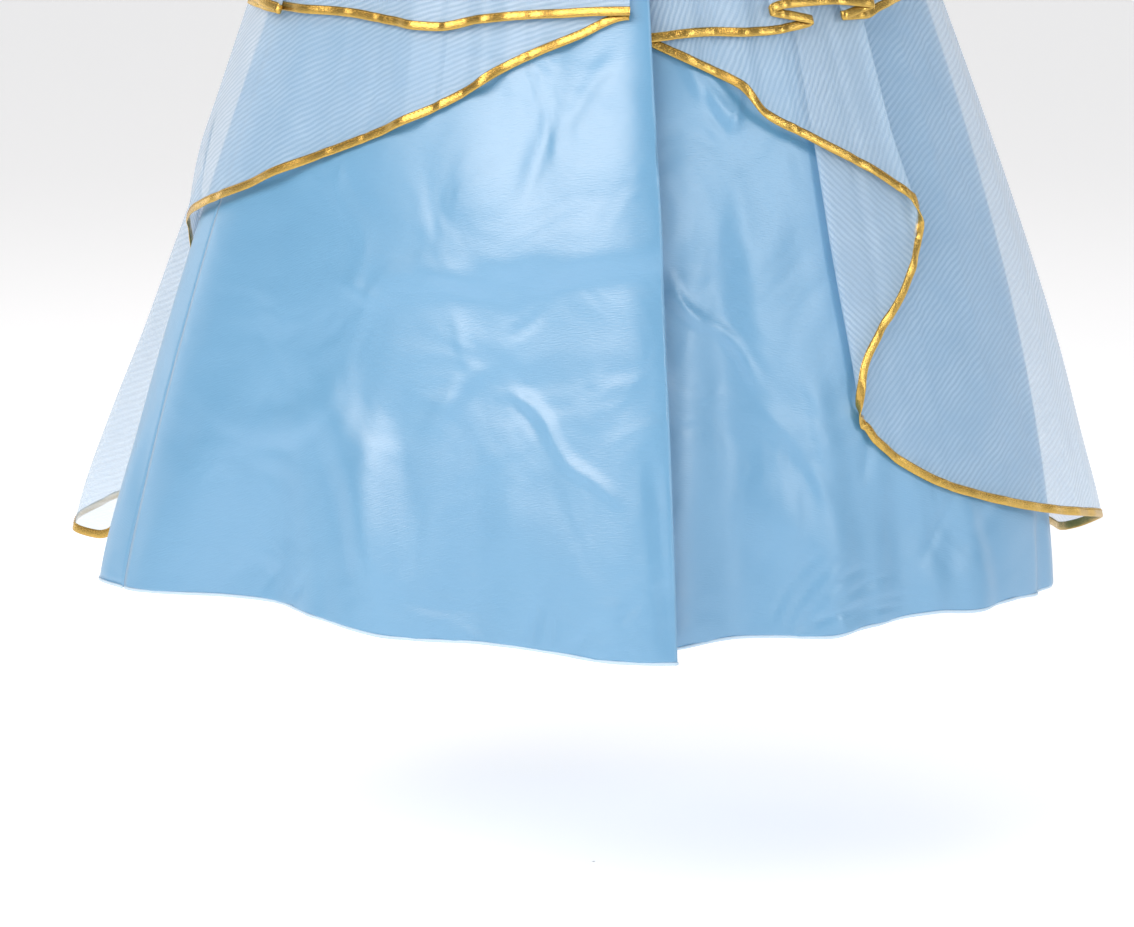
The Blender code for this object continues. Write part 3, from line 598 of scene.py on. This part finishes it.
# Finer flutes pressed into the crisp cloth: angle at the waist, angle at the hem, half width, height.
FINE_FLUTES = (
    (-172, -170, 2.2, 0.0009), (-158, -155, 2.6, 0.0012), (-139, -140, 2.0, -0.0009), (-128, -131, 2.4, 0.0011),
    (-104, -106, 2.2, 0.0010), (-91, -94, 1.8, -0.0008), (-72, -70, 2.0, 0.0009), (-63, -62, 1.6, -0.0007),
    (-45, -46, 1.8, 0.0010), (-28, -27, 1.8, 0.0008), (-11, -12, 1.6, -0.0007), (5, 4, 1.6, 0.0007),
    (15, 16, 1.8, -0.0008), (29, 31, 1.7, 0.0009), (41, 44, 1.9, -0.0008), (48, 52, 1.4, 0.0008),
    (59, 62, 1.8, 0.0009), (66, 69, 1.4, -0.0008), (81, 80, 2.2, 0.0010), (93, 95, 2.4, -0.0009),
    (112, 113, 2.2, 0.0011), (134, 136, 2.4, -0.0010), (155, 157, 2.0, 0.0010), (173, 172, 2.2, -0.0008),
)

# How far the organza stands off at each side: drop, distance on the -X side, distance on the +X side.
SIDE_STAND = (
    (0.00, 0.000, 0.000), (0.15, 0.010, 0.003), (0.30, 0.021, 0.006), (0.40, 0.026, 0.008),
    (0.50, 0.025, 0.011), (0.62, 0.028, 0.016), (0.75, 0.034, 0.023), (0.85, 0.043, 0.028),
    (0.95, 0.052, 0.036), (1.02, 0.055, 0.038),
)
# Share of that distance round the skirt, above and below the drop where the front is cut away: angle, share.
STAND_HIGH = (
    (-180, 0.31), (-160, 0.55), (-140, 0.90), (-122, 1.00), (-112, 0.70), (-100, 0.32), (-85, 0.25),
    (-66, 0.00), (56, 0.00), (72, 0.35), (86, 1.00), (98, 0.60), (112, 0.50), (140, 0.60), (180, 0.45),
)
STAND_LOW = (
    (-180, 0.31), (-160, 0.55), (-142, 0.92), (-130, 1.14), (-125, 1.20), (-121.4, 1.08), (-118.2, 0.34),
    (-115, 0.00), (56, 0.00), (72, 0.30), (86, 1.00), (98, 0.55), (112, 0.45), (140, 0.60), (180, 0.45),
)

# Edges of the folds of each half, in the order the cloth runs: tables of drop, angle.
LONG_RIGHT_FOLDS = (
    ((0, -3.5),), ((0, 51.5), (0.50, 50.8), (0.63, 53.2)), ((0, 35.4), (0.60, 35.6), (0.80, 37.2)),
)
SHORT_RIGHT_FOLDS = (((0, -3.5),), ((0, 36.8),), ((0, 27.0),), ((0, 50.4),), ((0, 44.0),))
SHORT_LEFT_FOLDS = (((0, -85.3),), ((0, -98.0),))
LEFT_FRONT_EDGE = ((0, -1.2), (0.42, -4.6))

# Cut edges: leg of the folded path, angle, drop.
LONG_RIGHT_HEM = (
    (0, -3.5, 0.412), (0, 0, 0.419), (0, 8.8, 0.437), (0, 19.6, 0.462), (0, 24.5, 0.490), (0, 34.4, 0.519),
    (0, 44.8, 0.551), (0, 50, 0.573), (1, 53.2, 0.606), (1, 48.2, 0.668), (1, 42.2, 0.708), (1, 38.6, 0.737),
    (2, 36.9, 0.776), (2, 38.3, 0.798), (2, 39.9, 0.812), (2, 49.4, 0.857), (2, 59.8, 0.886),
    (2, 71.5, 0.912), (2, 86, 0.940), (2, 99, 0.974), (2, 120, 0.978), (2, 150, 0.972), (2, 180, 0.966),
)
LONG_LEFT_HEM = (
    (0, -180, 0.958), (0, -150, 0.964), (0, -133, 0.967), (0, -124, 0.974), (0, -119.4, 0.984),
    (0, -117.9, 0.970), (0, -117.8, 0.910), (0, -117.3, 0.820), (0, -115.6, 0.730), (0, -112, 0.665),
    (0, -103.0, 0.620), (0, -97.8, 0.607), (0, -87.2, 0.581), (0, -74.2, 0.546), (0, -52.8, 0.500),
    (0, -37.9, 0.464), (0, -32.7, 0.448), (0, -27.5, 0.436), (0, -14.9, 0.412), (0, -4.6, 0.393),
)
SHORT_RIGHT_HEM = (
    (0, -3.5, 0.414), (0, 0, 0.416), (0, 10.5, 0.412), (0, 25.9, 0.413), (0, 32.2, 0.410), (1, 36.8, 0.405),
    (1, 33, 0.400), (2, 27, 0.393), (2, 30, 0.387), (2, 39.7, 0.386), (3, 50.4, 0.393), (4, 44, 0.402),
    (4, 50.1, 0.403), (4, 53.6, 0.397), (4, 58.5, 0.391), (4, 78, 0.372), (4, 100, 0.360), (4, 140, 0.352),
    (4, 180, 0.350),
)
SHORT_LEFT_HEM = (
    (0, -180, 0.350), (0, -140, 0.354), (0, -108, 0.372), (0, -91.4, 0.397), (1, -85.3, 0.404),
    (2, -98, 0.400), (2, -84.1, 0.401), (2, -73, 0.401), (2, -58.7, 0.406), (2, -47.8, 0.409),
    (2, -36.4, 0.399), (2, -19.1, 0.392), (2, -4.6, 0.388),
)


def easing(drop, waist_share=LIFT_WAIST_SHARE):
    """Layers lie closer together at the waist, where they are sewn into one seam."""
    return waist_share + (1 - waist_share) * grown(drop, CLEAR_OF_WAIST)


def layer_step(drop):
    """Distance between the layers of a fold, which opens towards the hem."""
    return LAYER_STEP * easing(drop, LAYER_WAIST_SHARE) + FOLD_OPENING * grown(drop, FOLDS_OPEN)


def stand(angle, drop):
    """Distance the organza stands off at the sides and back."""
    column = np.where(angle < 0, curve(drop, SIDE_STAND, 1), curve(drop, SIDE_STAND, 2))
    low = grown(drop, FRONT_CUT_AWAY)
    return column * (curve(angle, STAND_HIGH) * (1 - low) + curve(angle, STAND_LOW) * low)


def gathers(angle, drop):
    """Gathers and fine flutes that open below the waist: each a soft ridge of its own width and height."""
    total = np.zeros_like(np.asarray(angle, float))
    for centre, half_width, height in ORGANZA_GATHERS:
        total += height * smooth(1 - np.abs(angle - centre) / half_width)
    for high, low, half_width, height in FINE_FLUTES:
        total += height * smooth(1 - np.abs(angle - high - (low - high) * drop) / half_width)
    return total * grown(drop, GATHERS_OPEN)


def under_organza(angle, drop):
    """The organza rides over the satin's billows and bridges its hollows."""
    return np.maximum(creased(angle, drop, FRONT_VIEW, BILLOWS), 0)


def long_right_lift(angle, drop):
    """Lift of the +X half of the long tier."""
    return LONG_LIFT * easing(drop) + stand(angle, drop) + gathers(angle, drop) + under_organza(angle, drop)


def long_lift(angle, drop):
    """Lift of the -X half, which also rises with the pleat."""
    return pleat_lift(np.minimum(angle, 0), drop) * (angle < 0) + long_right_lift(angle, drop)


def long_right_front(angle, drop):
    """The front of the long tier rises over its own two folded layers."""
    return long_right_lift(angle, drop) + 2 * layer_step(drop) * grown(angle, OVER_RIGHT_FOLD)


def short_right_lift(angle, drop):
    """The short tier lies over the long tier and its fold."""
    over_fold = grown(angle, OVER_RIGHT_FOLD) * (1 - grown(angle, OFF_RIGHT_FOLD))
    return long_right_lift(angle, drop) + 2 * layer_step(drop) * over_fold + SHORT_LIFT * easing(drop)


def short_left_lift(angle, drop):
    """The short tier lies over the long tier."""
    return long_lift(angle, drop) + SHORT_LIFT * easing(drop)


def raised(lift, layers):
    """The same lift, some layers further out."""
    return lambda angle, drop: lift(angle, drop) + layers * layer_step(drop)


# Polyester organza: crisp, plain woven and sheer, of fine bright filaments 0.3 mm apart with open gaps between.
# Its two sets of threads are drawn 1.6 mm apart, and beat with each other in faint slanting streaks.
ORGANZA_BLUE = "#CBE1F3"
ORGANZA_SHADE = "#B3D1EA"
ORGANZA_COVER = (0.38, 0.56)
ORGANZA_THREAD = 0.0016
ORGANZA_STREAK = 0.0036
ORGANZA_THREAD_SHARE = 0.20
WAVE_SCALE = 2 * np.pi / 20


def organza_finish(name):
    """Sheer cloth whose cover follows its threads, on the cloth's own layout."""
    made, shader = new_material(name)
    shader.inputs["Roughness"].default_value = 0.42
    shader.inputs["Specular IOR Level"].default_value = 0.6
    shader.inputs["Sheen Weight"].default_value = 0.15
    shader.inputs["Sheen Roughness"].default_value = 0.3
    place_on = add_node(made, "ShaderNodeUVMap", {"uv_map": "cloth"}).outputs["UV"]
    wave = {"wave_type": "BANDS", "bands_direction": "X", "wave_profile": "SIN"}
    slant = add_node(made, "ShaderNodeMapping", Vector=place_on, Rotation=(0, 0, np.radians(52)))
    counter = add_node(made, "ShaderNodeMapping", Vector=place_on, Rotation=(0, 0, np.radians(-38)))
    one = add_node(made, "ShaderNodeTexWave", wave, Vector=slant.outputs["Vector"],
                   Scale=WAVE_SCALE / ORGANZA_THREAD, Distortion=0.15, Detail=1.0)
    other = add_node(made, "ShaderNodeTexWave", wave, Vector=counter.outputs["Vector"],
                     Scale=WAVE_SCALE / ORGANZA_THREAD, Distortion=0.15, Detail=1.0)
    streaks = add_node(made, "ShaderNodeTexWave", wave, Vector=slant.outputs["Vector"],
                       Scale=WAVE_SCALE / ORGANZA_STREAK, Distortion=2.5, Detail=3.0)
    patches = add_node(made, "ShaderNodeTexNoise", Vector=place_on, Scale=30.0, Detail=3.0)
    threads = add_node(made, "ShaderNodeMath", {"operation": "MULTIPLY"}, i0=one.outputs["Fac"],
                       i1=other.outputs["Fac"])
    beat = add_node(made, "ShaderNodeMath", {"operation": "MULTIPLY"}, i0=streaks.outputs["Fac"],
                    i1=patches.outputs["Fac"])
    both = add_node(made, "ShaderNodeMath", {"operation": "MULTIPLY_ADD"}, i0=threads.outputs[0],
                    i1=ORGANZA_THREAD_SHARE, i2=beat.outputs[0])
    cover = add_node(made, "ShaderNodeMapRange", Value=both.outputs[0], From_Max=0.9, To_Min=ORGANZA_COVER[0],
                     To_Max=ORGANZA_COVER[1])
    made.node_tree.links.new(cover.outputs["Result"], shader.inputs["Alpha"])
    tint = add_node(made, "ShaderNodeMix", {"data_type": "RGBA"}, i0=both.outputs[0],
                    i6=linear(ORGANZA_SHADE), i7=linear(ORGANZA_BLUE))
    made.node_tree.links.new(tint.outputs[2], shader.inputs["Base Color"])
    rise = add_node(made, "ShaderNodeBump", Height=both.outputs[0], Strength=0.12, Distance=0.0004)
    made.node_tree.links.new(rise.outputs["Normal"], shader.inputs["Normal"])
    return made


organza = organza_finish("polyester_organza")
LONG_ROWS = ((0.0, 1.0, 100),)
SHORT_ROWS = ((0.0, 1.0, 50),)
TIERS = {
    "overskirt_long_left": (FoldedCloth(
        (seam_edge(-BACK_SEAM, 1), LEFT_FRONT_EDGE), (long_lift,), LONG_LEFT_HEM),
        (260,), 0, LONG_ROWS, (0.95, 0.68), 0.335),
    "overskirt_long_right": (FoldedCloth(
        (*LONG_RIGHT_FOLDS, seam_edge(BACK_SEAM, -1)),
        (long_right_front, raised(long_right_lift, 1), long_right_lift), LONG_RIGHT_HEM),
        (70, 24, 170), 10, LONG_ROWS, (1.10, 0.68), 0.501),
    "overskirt_short_left": (FoldedCloth(
        (seam_edge(-BACK_SEAM, 1), *SHORT_LEFT_FOLDS, LEFT_FRONT_EDGE),
        (raised(short_left_lift, 2), raised(short_left_lift, 1), short_left_lift), SHORT_LEFT_HEM),
        (110, 12, 120), 10, SHORT_ROWS, (0.66, 0.30), 0.169),
    "overskirt_short_right": (FoldedCloth(
        (*SHORT_RIGHT_FOLDS, seam_edge(BACK_SEAM, -1)),
        (short_right_lift, raised(short_right_lift, 1), raised(short_right_lift, 2),
         raised(short_right_lift, 1), short_right_lift), SHORT_RIGHT_HEM),
        (60, 12, 34, 8, 140), 10, SHORT_ROWS, (0.76, 0.30), 0.176),
}


# The gold bindings: a ribbon of metallic lame folded over each cut edge of the organza, 6 mm wide, and sewn down
# near its upper edge with one row of small stitches. It puckers a little, so it glints unevenly.
BINDING_WIDTH = 0.0062
BINDING_HALF_WALL = 0.0008
BINDING_TOP = -0.0036
BINDING_SIDES = 16
BINDING_SQUARENESS = 0.85
BINDING_GROOVE = 0.00035
BINDING_GROOVE_WIDTH = 0.0007
STITCH_LINE = 0.0013
PUCKER = 0.06
TILT = 0.15
STITCH_LENGTH = 0.0024
STITCH_PITCH = 0.0031
STITCH_RADIUS = 0.00022
STITCH_SIDES = 5
WALK_STEPS = 10

# Lame ribbon: slit metallised film woven on a fine ground, gilt and crinkled in the sewing: bright, and rough
# enough to glitter. Its crinkles are 0.9 mm across.
GOLD = "#DDB964"
GOLD_DEEP = "#A8863F"
CRINKLE = 0.0009
GOLD_THREAD = "#C79A3C"


def gold_finish(name):
    """Metallic ribbon with fine crinkles."""
    made, shader = new_material(name)
    shader.inputs["Metallic"].default_value = 0.9
    shader.inputs["Roughness"].default_value = 0.27
    spot = add_node(made, "ShaderNodeTexCoord").outputs["Object"]
    flecks = add_node(made, "ShaderNodeTexNoise", Vector=spot, Scale=1 / (2 * CRINKLE), Detail=3.0)
    tint = add_node(made, "ShaderNodeMix", {"data_type": "RGBA"}, i0=flecks.outputs["Fac"],
                    i6=linear(GOLD_DEEP), i7=linear(GOLD))
    made.node_tree.links.new(tint.outputs[2], shader.inputs["Base Color"])
    crinkles = add_node(made, "ShaderNodeTexNoise", Vector=spot, Scale=1 / CRINKLE, Detail=2.0)
    rise = add_node(made, "ShaderNodeBump", Height=crinkles.outputs["Fac"], Strength=0.45, Distance=0.0005)
    made.node_tree.links.new(rise.outputs["Normal"], shader.inputs["Normal"])
    return made


def thread_finish(name, colour):
    """Plain sewing thread: matt spun polyester."""
    made, shader = new_material(name)
    spot = add_node(made, "ShaderNodeTexCoord").outputs["Object"]
    twist = add_node(made, "ShaderNodeTexNoise", Vector=spot, Scale=1 / STITCH_RADIUS, Detail=1.0)
    shade = add_node(made, "ShaderNodeMix", {"data_type": "RGBA"}, i0=twist.outputs["Fac"],
                     i6=linear(colour), i7=tuple(0.7 * c for c in linear(colour)[:3]) + (1.0,))
    made.node_tree.links.new(shade.outputs[2], shader.inputs["Base Color"])
    shader.inputs["Roughness"].default_value = 0.7
    return made


def band_frame(cloth, q):
    """Along a cut edge: its points, the way across the band within the cloth, and the way out."""
    drop = cloth.edge_drop(q)
    path = cloth.point(q, drop)
    along = np.gradient(path, axis=0)
    along /= np.linalg.norm(along, axis=-1, keepdims=True)
    out = cloth.out(q, drop)
    across = np.cross(along, out)
    return path, across / np.linalg.norm(across, axis=-1, keepdims=True), out, along


def binding(name, cloth, q, finish):
    """A folded ribbon on a cut edge: a squared oval section, its stitched groove, puckers and slight twist."""
    path, across, out, along = band_frame(cloth, q)
    walked = np.concatenate([[0], np.cumsum(np.linalg.norm(np.diff(path, axis=0), axis=1))])
    turn = np.linspace(0, 2 * np.pi, BINDING_SIDES, endpoint=False)
    wide = np.sign(np.cos(turn)) * np.abs(np.cos(turn)) ** BINDING_SQUARENESS
    high = np.sign(np.sin(turn)) * np.abs(np.sin(turn)) ** BINDING_SQUARENESS
    reach = BINDING_TOP + BINDING_WIDTH / 2 * (1 + wide)
    groove = BINDING_GROOVE * smooth(1 - np.abs(reach - BINDING_TOP - STITCH_LINE) / BINDING_GROOVE_WIDTH)
    pucker = 1 + PUCKER * (np.sin(walked * 420) + np.sin(walked * 227 + 2) + np.sin(walked * 131 + 1))
    tilt = TILT * (np.sin(walked * 63 + 1) + 0.6 * np.sin(walked * 151 + 4))
    rise = BINDING_HALF_WALL * high[None] * pucker[:, None] - np.sign(high)[None] * groove[None]
    rise = rise + tilt[:, None] * BINDING_HALF_WALL * wide[None]
    points = path[:, None] + across[:, None] * reach[None, :, None] + out[:, None] * rise[..., None]
    piece = mesh_piece(name, points, grid_faces(len(q), BINDING_SIDES, closed=True), finish)
    return piece, walked


def stitches(name, path, across, out, along, offset, lift, pitch, finish):
    """A row of small stitches at an even pitch along a path, each a short rod pointed at its two ends."""
    walked = np.concatenate([[0], np.cumsum(np.linalg.norm(np.diff(path, axis=0), axis=1))])
    centres = np.arange(pitch, walked[-1] - pitch, pitch)

    def at(rows):
        return np.stack([np.interp(centres, walked, rows[:, k]) for k in range(3)], -1)[:, None]

    turn = np.linspace(0, 2 * np.pi, STITCH_SIDES, endpoint=False)
    length = np.repeat([-0.5, -0.3, 0.3, 0.5], STITCH_SIDES) * STITCH_LENGTH
    round_it = np.repeat([0.15, 1.0, 1.0, 0.15], STITCH_SIDES) * STITCH_RADIUS
    turn = np.tile(turn, 4)
    centre = at(path) + at(across) * offset + at(out) * lift
    points = (centre + at(along) * length[None, :, None] + at(across) * (round_it * np.cos(turn))[None, :, None]
              + at(out) * (round_it * np.sin(turn))[None, :, None])
    one = grid_faces(4, STITCH_SIDES, closed=True)
    faces = (one[None] + (np.arange(len(centres)) * 4 * STITCH_SIDES)[:, None, None]).reshape(-1, 4)
    return mesh_piece(name, points, faces, finish)


gold = gold_finish("gold_lame")
gold_thread = thread_finish("gold_sewing_thread", GOLD_THREAD)
for name, (cloth, columns, turn_columns, rows, flat, area) in TIERS.items():
    piece = hanging_piece(name + "_organza", cloth, columns, turn_columns, shares_down(rows), organza)
    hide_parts(name)
    edge = name.replace("overskirt", "binding")
    q = cloth.stations([3 * count for count in columns], 3 * turn_columns)
    ribbon, _ = binding(edge + "_ribbon", cloth, q, gold)
    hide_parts(edge)
    path, across, out, along = band_frame(cloth, q)
    seam = stitches(edge + "_stitches", path, across, out, along, BINDING_TOP + STITCH_LINE,
                    BINDING_HALF_WALL, STITCH_PITCH, gold_thread)


# The bodice: a satin front and two backs that lap at the centre back, sleeveless, with a scooped neck. Its edges
# are turned in and topstitched, which is not drawn here; the cloth is smooth with a few soft strains at the waist
# and armholes.
BODICE_WALL = 0.0015
BODICE_TINY = 0.00002
BODICE_FORM = (
    (-0.335, 0.1235, 0.0975, 0.0965), (-0.290, 0.1240, 0.1000, 0.0950), (-0.240, 0.1290, 0.1060, 0.0960),
    (-0.200, 0.1340, 0.1100, 0.0980), (-0.165, 0.1370, 0.1115, 0.1000), (-0.130, 0.1380, 0.1080, 0.1010),
    (-0.100, 0.1380, 0.1010, 0.0990), (-0.070, 0.1380, 0.0900, 0.0920), (-0.045, 0.1380, 0.0760, 0.0790),
    (-0.025, 0.1380, 0.0590, 0.0610), (-0.010, 0.1380, 0.0370, 0.0390), (-0.003, 0.1380, 0.0190, 0.0200),
    (-0.0004, 0.1380, 0.0070, 0.0070), (0.000, 0.1380, 0.0, 0.0),
)
ARMHOLE = (
    (-0.165, 0.1370), (-0.163, 0.1310), (-0.156, 0.1235), (-0.140, 0.1160), (-0.115, 0.1100),
    (-0.080, 0.1075), (-0.040, 0.1100), (0.0, 0.1160),
)
CLOSURE_OVERLAP = 0.022
NECK_FRONT = ((-0.085, 0.0), (-0.083, 0.016), (-0.076, 0.031), (-0.062, 0.043), (-0.035, 0.052), (0.0, 0.056))
NECK_BACK = (
    (-0.048, -CLOSURE_OVERLAP / 2), (-0.0455, 0.018), (-0.040, 0.033), (-0.028, 0.045), (-0.014, 0.052),
    (0.0, 0.056),
)
SHOULDER_SLOPE = 0.32
SHOULDER_DEPTH = 0.11
SHOULDER_GAP = 0.0004
CLOSURE_LIFT = 0.0026
BODICE_COLUMNS = 36
BODICE_ROWS = 220
BODICE_STEEP = 2.2
FRONT, BACK = 2, 3

# Strains of the bodice: share across, height, half width across, half height, lift in metres, slant.
BODICE_STRAINS = (
    (0.75, -0.318, 0.30, 0.010, 0.0012, 0.05), (0.45, -0.296, 0.26, 0.008, 0.0009, -0.03),
    (0.85, -0.272, 0.22, 0.009, 0.0010, 0.06), (0.80, -0.200, 0.24, 0.012, 0.0009, 0.10),
    (0.60, -0.150, 0.22, 0.011, -0.0007, 0.14), (0.30, -0.235, 0.24, 0.014, 0.0007, -0.05),
    (0.90, -0.238, 0.18, 0.007, 0.0008, 0.08), (0.15, -0.320, 0.14, 0.008, -0.0007, 0.02),
)


def bodice_half(side, depth_column, neck, angle_out, lift=0.0):
    """Half a bodice piece, from its inner edge to the side seam: at each height an oval, cut by the neck and the
    armhole, and the shoulder slopes down from the neck."""
    facing = -1.0 if depth_column == FRONT else 1.0

    def point(share, height):
        width = curve(height, BODICE_FORM, 1)
        depth = curve(height, BODICE_FORM, depth_column, level_ends=False)
        inner = np.degrees(np.arcsin(curve(height, neck) / width))
        outer = np.minimum(np.degrees(np.arcsin(np.minimum(curve(height, ARMHOLE) / width, 1.0))), angle_out)
        turn = np.radians(inner + (outer - inner) * share)
        strain = lift + 0 * share
        for across, high, half_across, half_high, height_out, slant in BODICE_STRAINS:
            off = np.abs(height - high - slant * (share - across))
            strain = strain + height_out * smooth(1 - np.abs(share - across) / half_across) * smooth(1 - off / half_high)
        x = side * (width + strain) * np.sin(turn)
        y = facing * ((depth + strain) * np.cos(turn) + SHOULDER_GAP / 2)
        fall = SHOULDER_SLOPE * np.maximum(np.abs(x) - NECK_FRONT[-1][1], 0)
        fall = fall * smooth(1 + height / SHOULDER_DEPTH)
        return np.stack([x, y, height - fall + BODICE_WALL / 2], -1)

    share = np.linspace(0, 1, BODICE_COLUMNS + 1)[None, :]
    height = (WAIST_Z - 0.00045) * np.linspace(0, 1, BODICE_ROWS + 1)[:, None] ** BODICE_STEEP
    share, height = np.broadcast_arrays(share, height)
    points = point(share, height)
    return points, np.stack([points[..., 0], points[..., 2] + 0 * points[..., 1]], -1)


BODICE = {
    "bodice_front": (((-1, FRONT, NECK_FRONT, 0.0), (1, FRONT, NECK_FRONT, 0.0)), (0.44, 0.34), 0.10),
    "bodice_back_left": (((-1, BACK, NECK_BACK, CLOSURE_LIFT),), (0.24, 0.34), 0.055),
    "bodice_back_right": (((1, BACK, NECK_BACK, 0.0),), (0.24, 0.34), 0.055),
}
half_gap = np.degrees(SEAM_GAP / 2 / WAIST_HALF_WIDTH)
for name, (halves, flat, area) in BODICE.items():
    points, layouts, faces = [], [], []
    for side, depth_column, neck, lift in halves:
        half, layout = bodice_half(side, depth_column, neck, 90 - half_gap, lift)
        number = grid_faces(*half.shape[:2])
        if (side < 0) == (depth_column == FRONT):
            number = number[:, ::-1]
        faces.append(number + sum(len(part) for part in points))
        points.append(half.reshape(-1, 3))
        layouts.append(layout.reshape(-1, 2))
    piece = mesh_piece(name + "_satin", np.concatenate(points), np.concatenate(faces), satin,
                       np.concatenate(layouts))
    joined = piece.modifiers.new("centre", "WELD")
    joined.merge_threshold = 0.00002
    thicken(piece, SATIN_THICKNESS)
    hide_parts(name)


# The studio: a pale paper floor that curves up into a low wall all round, and soft boxes round the dress: a large
# one high in front and to the left, a dimmer one to the right, a strip behind each side, and one overhead.
FLOOR_Z = -1.221
FLOOR_RADIUS = 13.0
WALL_AT = 16.0
WALL_TOP = 1.2
STUDIO_SIDES = 64
STUDIO_PALE = "#F4F4F5"
STUDIO_GLOW = 0.64
WORLD_STRENGTH = 0.22

bend = np.linspace(0, np.pi / 2, 17)
profile = np.concatenate([
    [(0.001, FLOOR_Z), (FLOOR_RADIUS / 2, FLOOR_Z)],
    np.stack([FLOOR_RADIUS + (WALL_AT - FLOOR_RADIUS) * np.sin(bend),
              FLOOR_Z + (WALL_TOP - FLOOR_Z) * (1 - np.cos(bend))], -1)])
turn = np.linspace(0, 2 * np.pi, STUDIO_SIDES, endpoint=False)
sweep = np.stack([profile[:, :1] * np.cos(turn), profile[:, :1] * np.sin(turn),
                  np.broadcast_to(profile[:, 1:], (len(profile), STUDIO_SIDES))], -1)
paper, paper_shader = new_material("studio_paper")
paper_shader.inputs["Base Color"].default_value = linear(STUDIO_PALE)
paper_shader.inputs["Roughness"].default_value = 0.9
paper_shader.inputs["Emission Color"].default_value = linear(STUDIO_PALE)
paper_shader.inputs["Emission Strength"].default_value = STUDIO_GLOW
paper_shader.inputs["Specular IOR Level"].default_value = 0.1
backdrop_mesh = bpy.data.meshes.new("backdrop")
backdrop_mesh.from_pydata(sweep.reshape(-1, 3).tolist(), [], grid_faces(len(profile), STUDIO_SIDES, closed=True).tolist())
backdrop_mesh.shade_smooth()
backdrop_mesh.materials.append(paper)
backdrop = bpy.data.objects.new("backdrop", backdrop_mesh)
bpy.context.scene.collection.objects.link(backdrop)

AIM = (0.0, -0.10, -0.72)
# Soft boxes: azimuth, rise, distance, width, height, power, colour.
SOFT_BOXES = {
    "key": (-48, 31, 2.6, 2.3, 1.1, 54.0, "#FFF3EA"),
    "fill": (42, 17, 3.0, 0.9, 0.7, 19.0, "#FFFFFF"),
    "left_strip": (-138, 14, 2.4, 0.7, 1.8, 6.0, "#FFFFFF"),
    "right_strip": (104, 14, 2.4, 0.8, 1.8, 5.0, "#FFFFFF"),
    "top": (0, 85, 2.4, 2.2, 2.2, 10.0, "#FFFFFF"),
    "back": (172, 35, 3.0, 2.0, 1.4, 7.0, "#FFFFFF"),
}
for name, (azimuth, rise, distance, width, height, power, colour) in SOFT_BOXES.items():
    turn, lift = np.radians(azimuth), np.radians(rise)
    away = np.array([np.sin(turn) * np.cos(lift), -np.cos(turn) * np.cos(lift), np.sin(lift)])
    lamp_data = bpy.data.lights.new(name, "AREA")
    lamp_data.shape = "RECTANGLE"
    lamp_data.size, lamp_data.size_y = width, height
    lamp_data.energy = power
    lamp_data.color = linear(colour)[:3]
    lamp = bpy.data.objects.new(name, lamp_data)
    lamp.location = np.array(AIM) + away * distance
    lamp.rotation_euler = Vector(away).to_track_quat("Z", "Y").to_euler()
    bpy.context.scene.collection.objects.link(lamp)

world = bpy.data.worlds.new("studio")
world.use_nodes = True
world.node_tree.nodes["Background"].inputs["Color"].default_value = linear("#FFFFFF")
world.node_tree.nodes["Background"].inputs["Strength"].default_value = WORLD_STRENGTH
bpy.context.scene.world = world
bpy.context.scene.view_settings.view_transform = "Standard"

# The camera: a long lens a little to the left of the front and slightly above the skirt, framed on it.
FOCUS = (-0.0186, 0.0036, -0.9336)
LENS = 163.27
turn, lift = np.radians(FRONT_VIEW), np.radians(VIEW_RISE)
away = np.array([np.sin(turn) * np.cos(lift), -np.cos(turn) * np.cos(lift), np.sin(lift)])
camera_data = bpy.data.cameras.new("camera")
camera_data.lens = LENS
camera = bpy.data.objects.new("camera", camera_data)
camera.location = np.array(FOCUS) + away * VIEW_DISTANCE
camera.rotation_euler = Vector(away).to_track_quat("Z", "Y").to_euler()
bpy.context.scene.collection.objects.link(camera)
bpy.context.scene.camera = camera
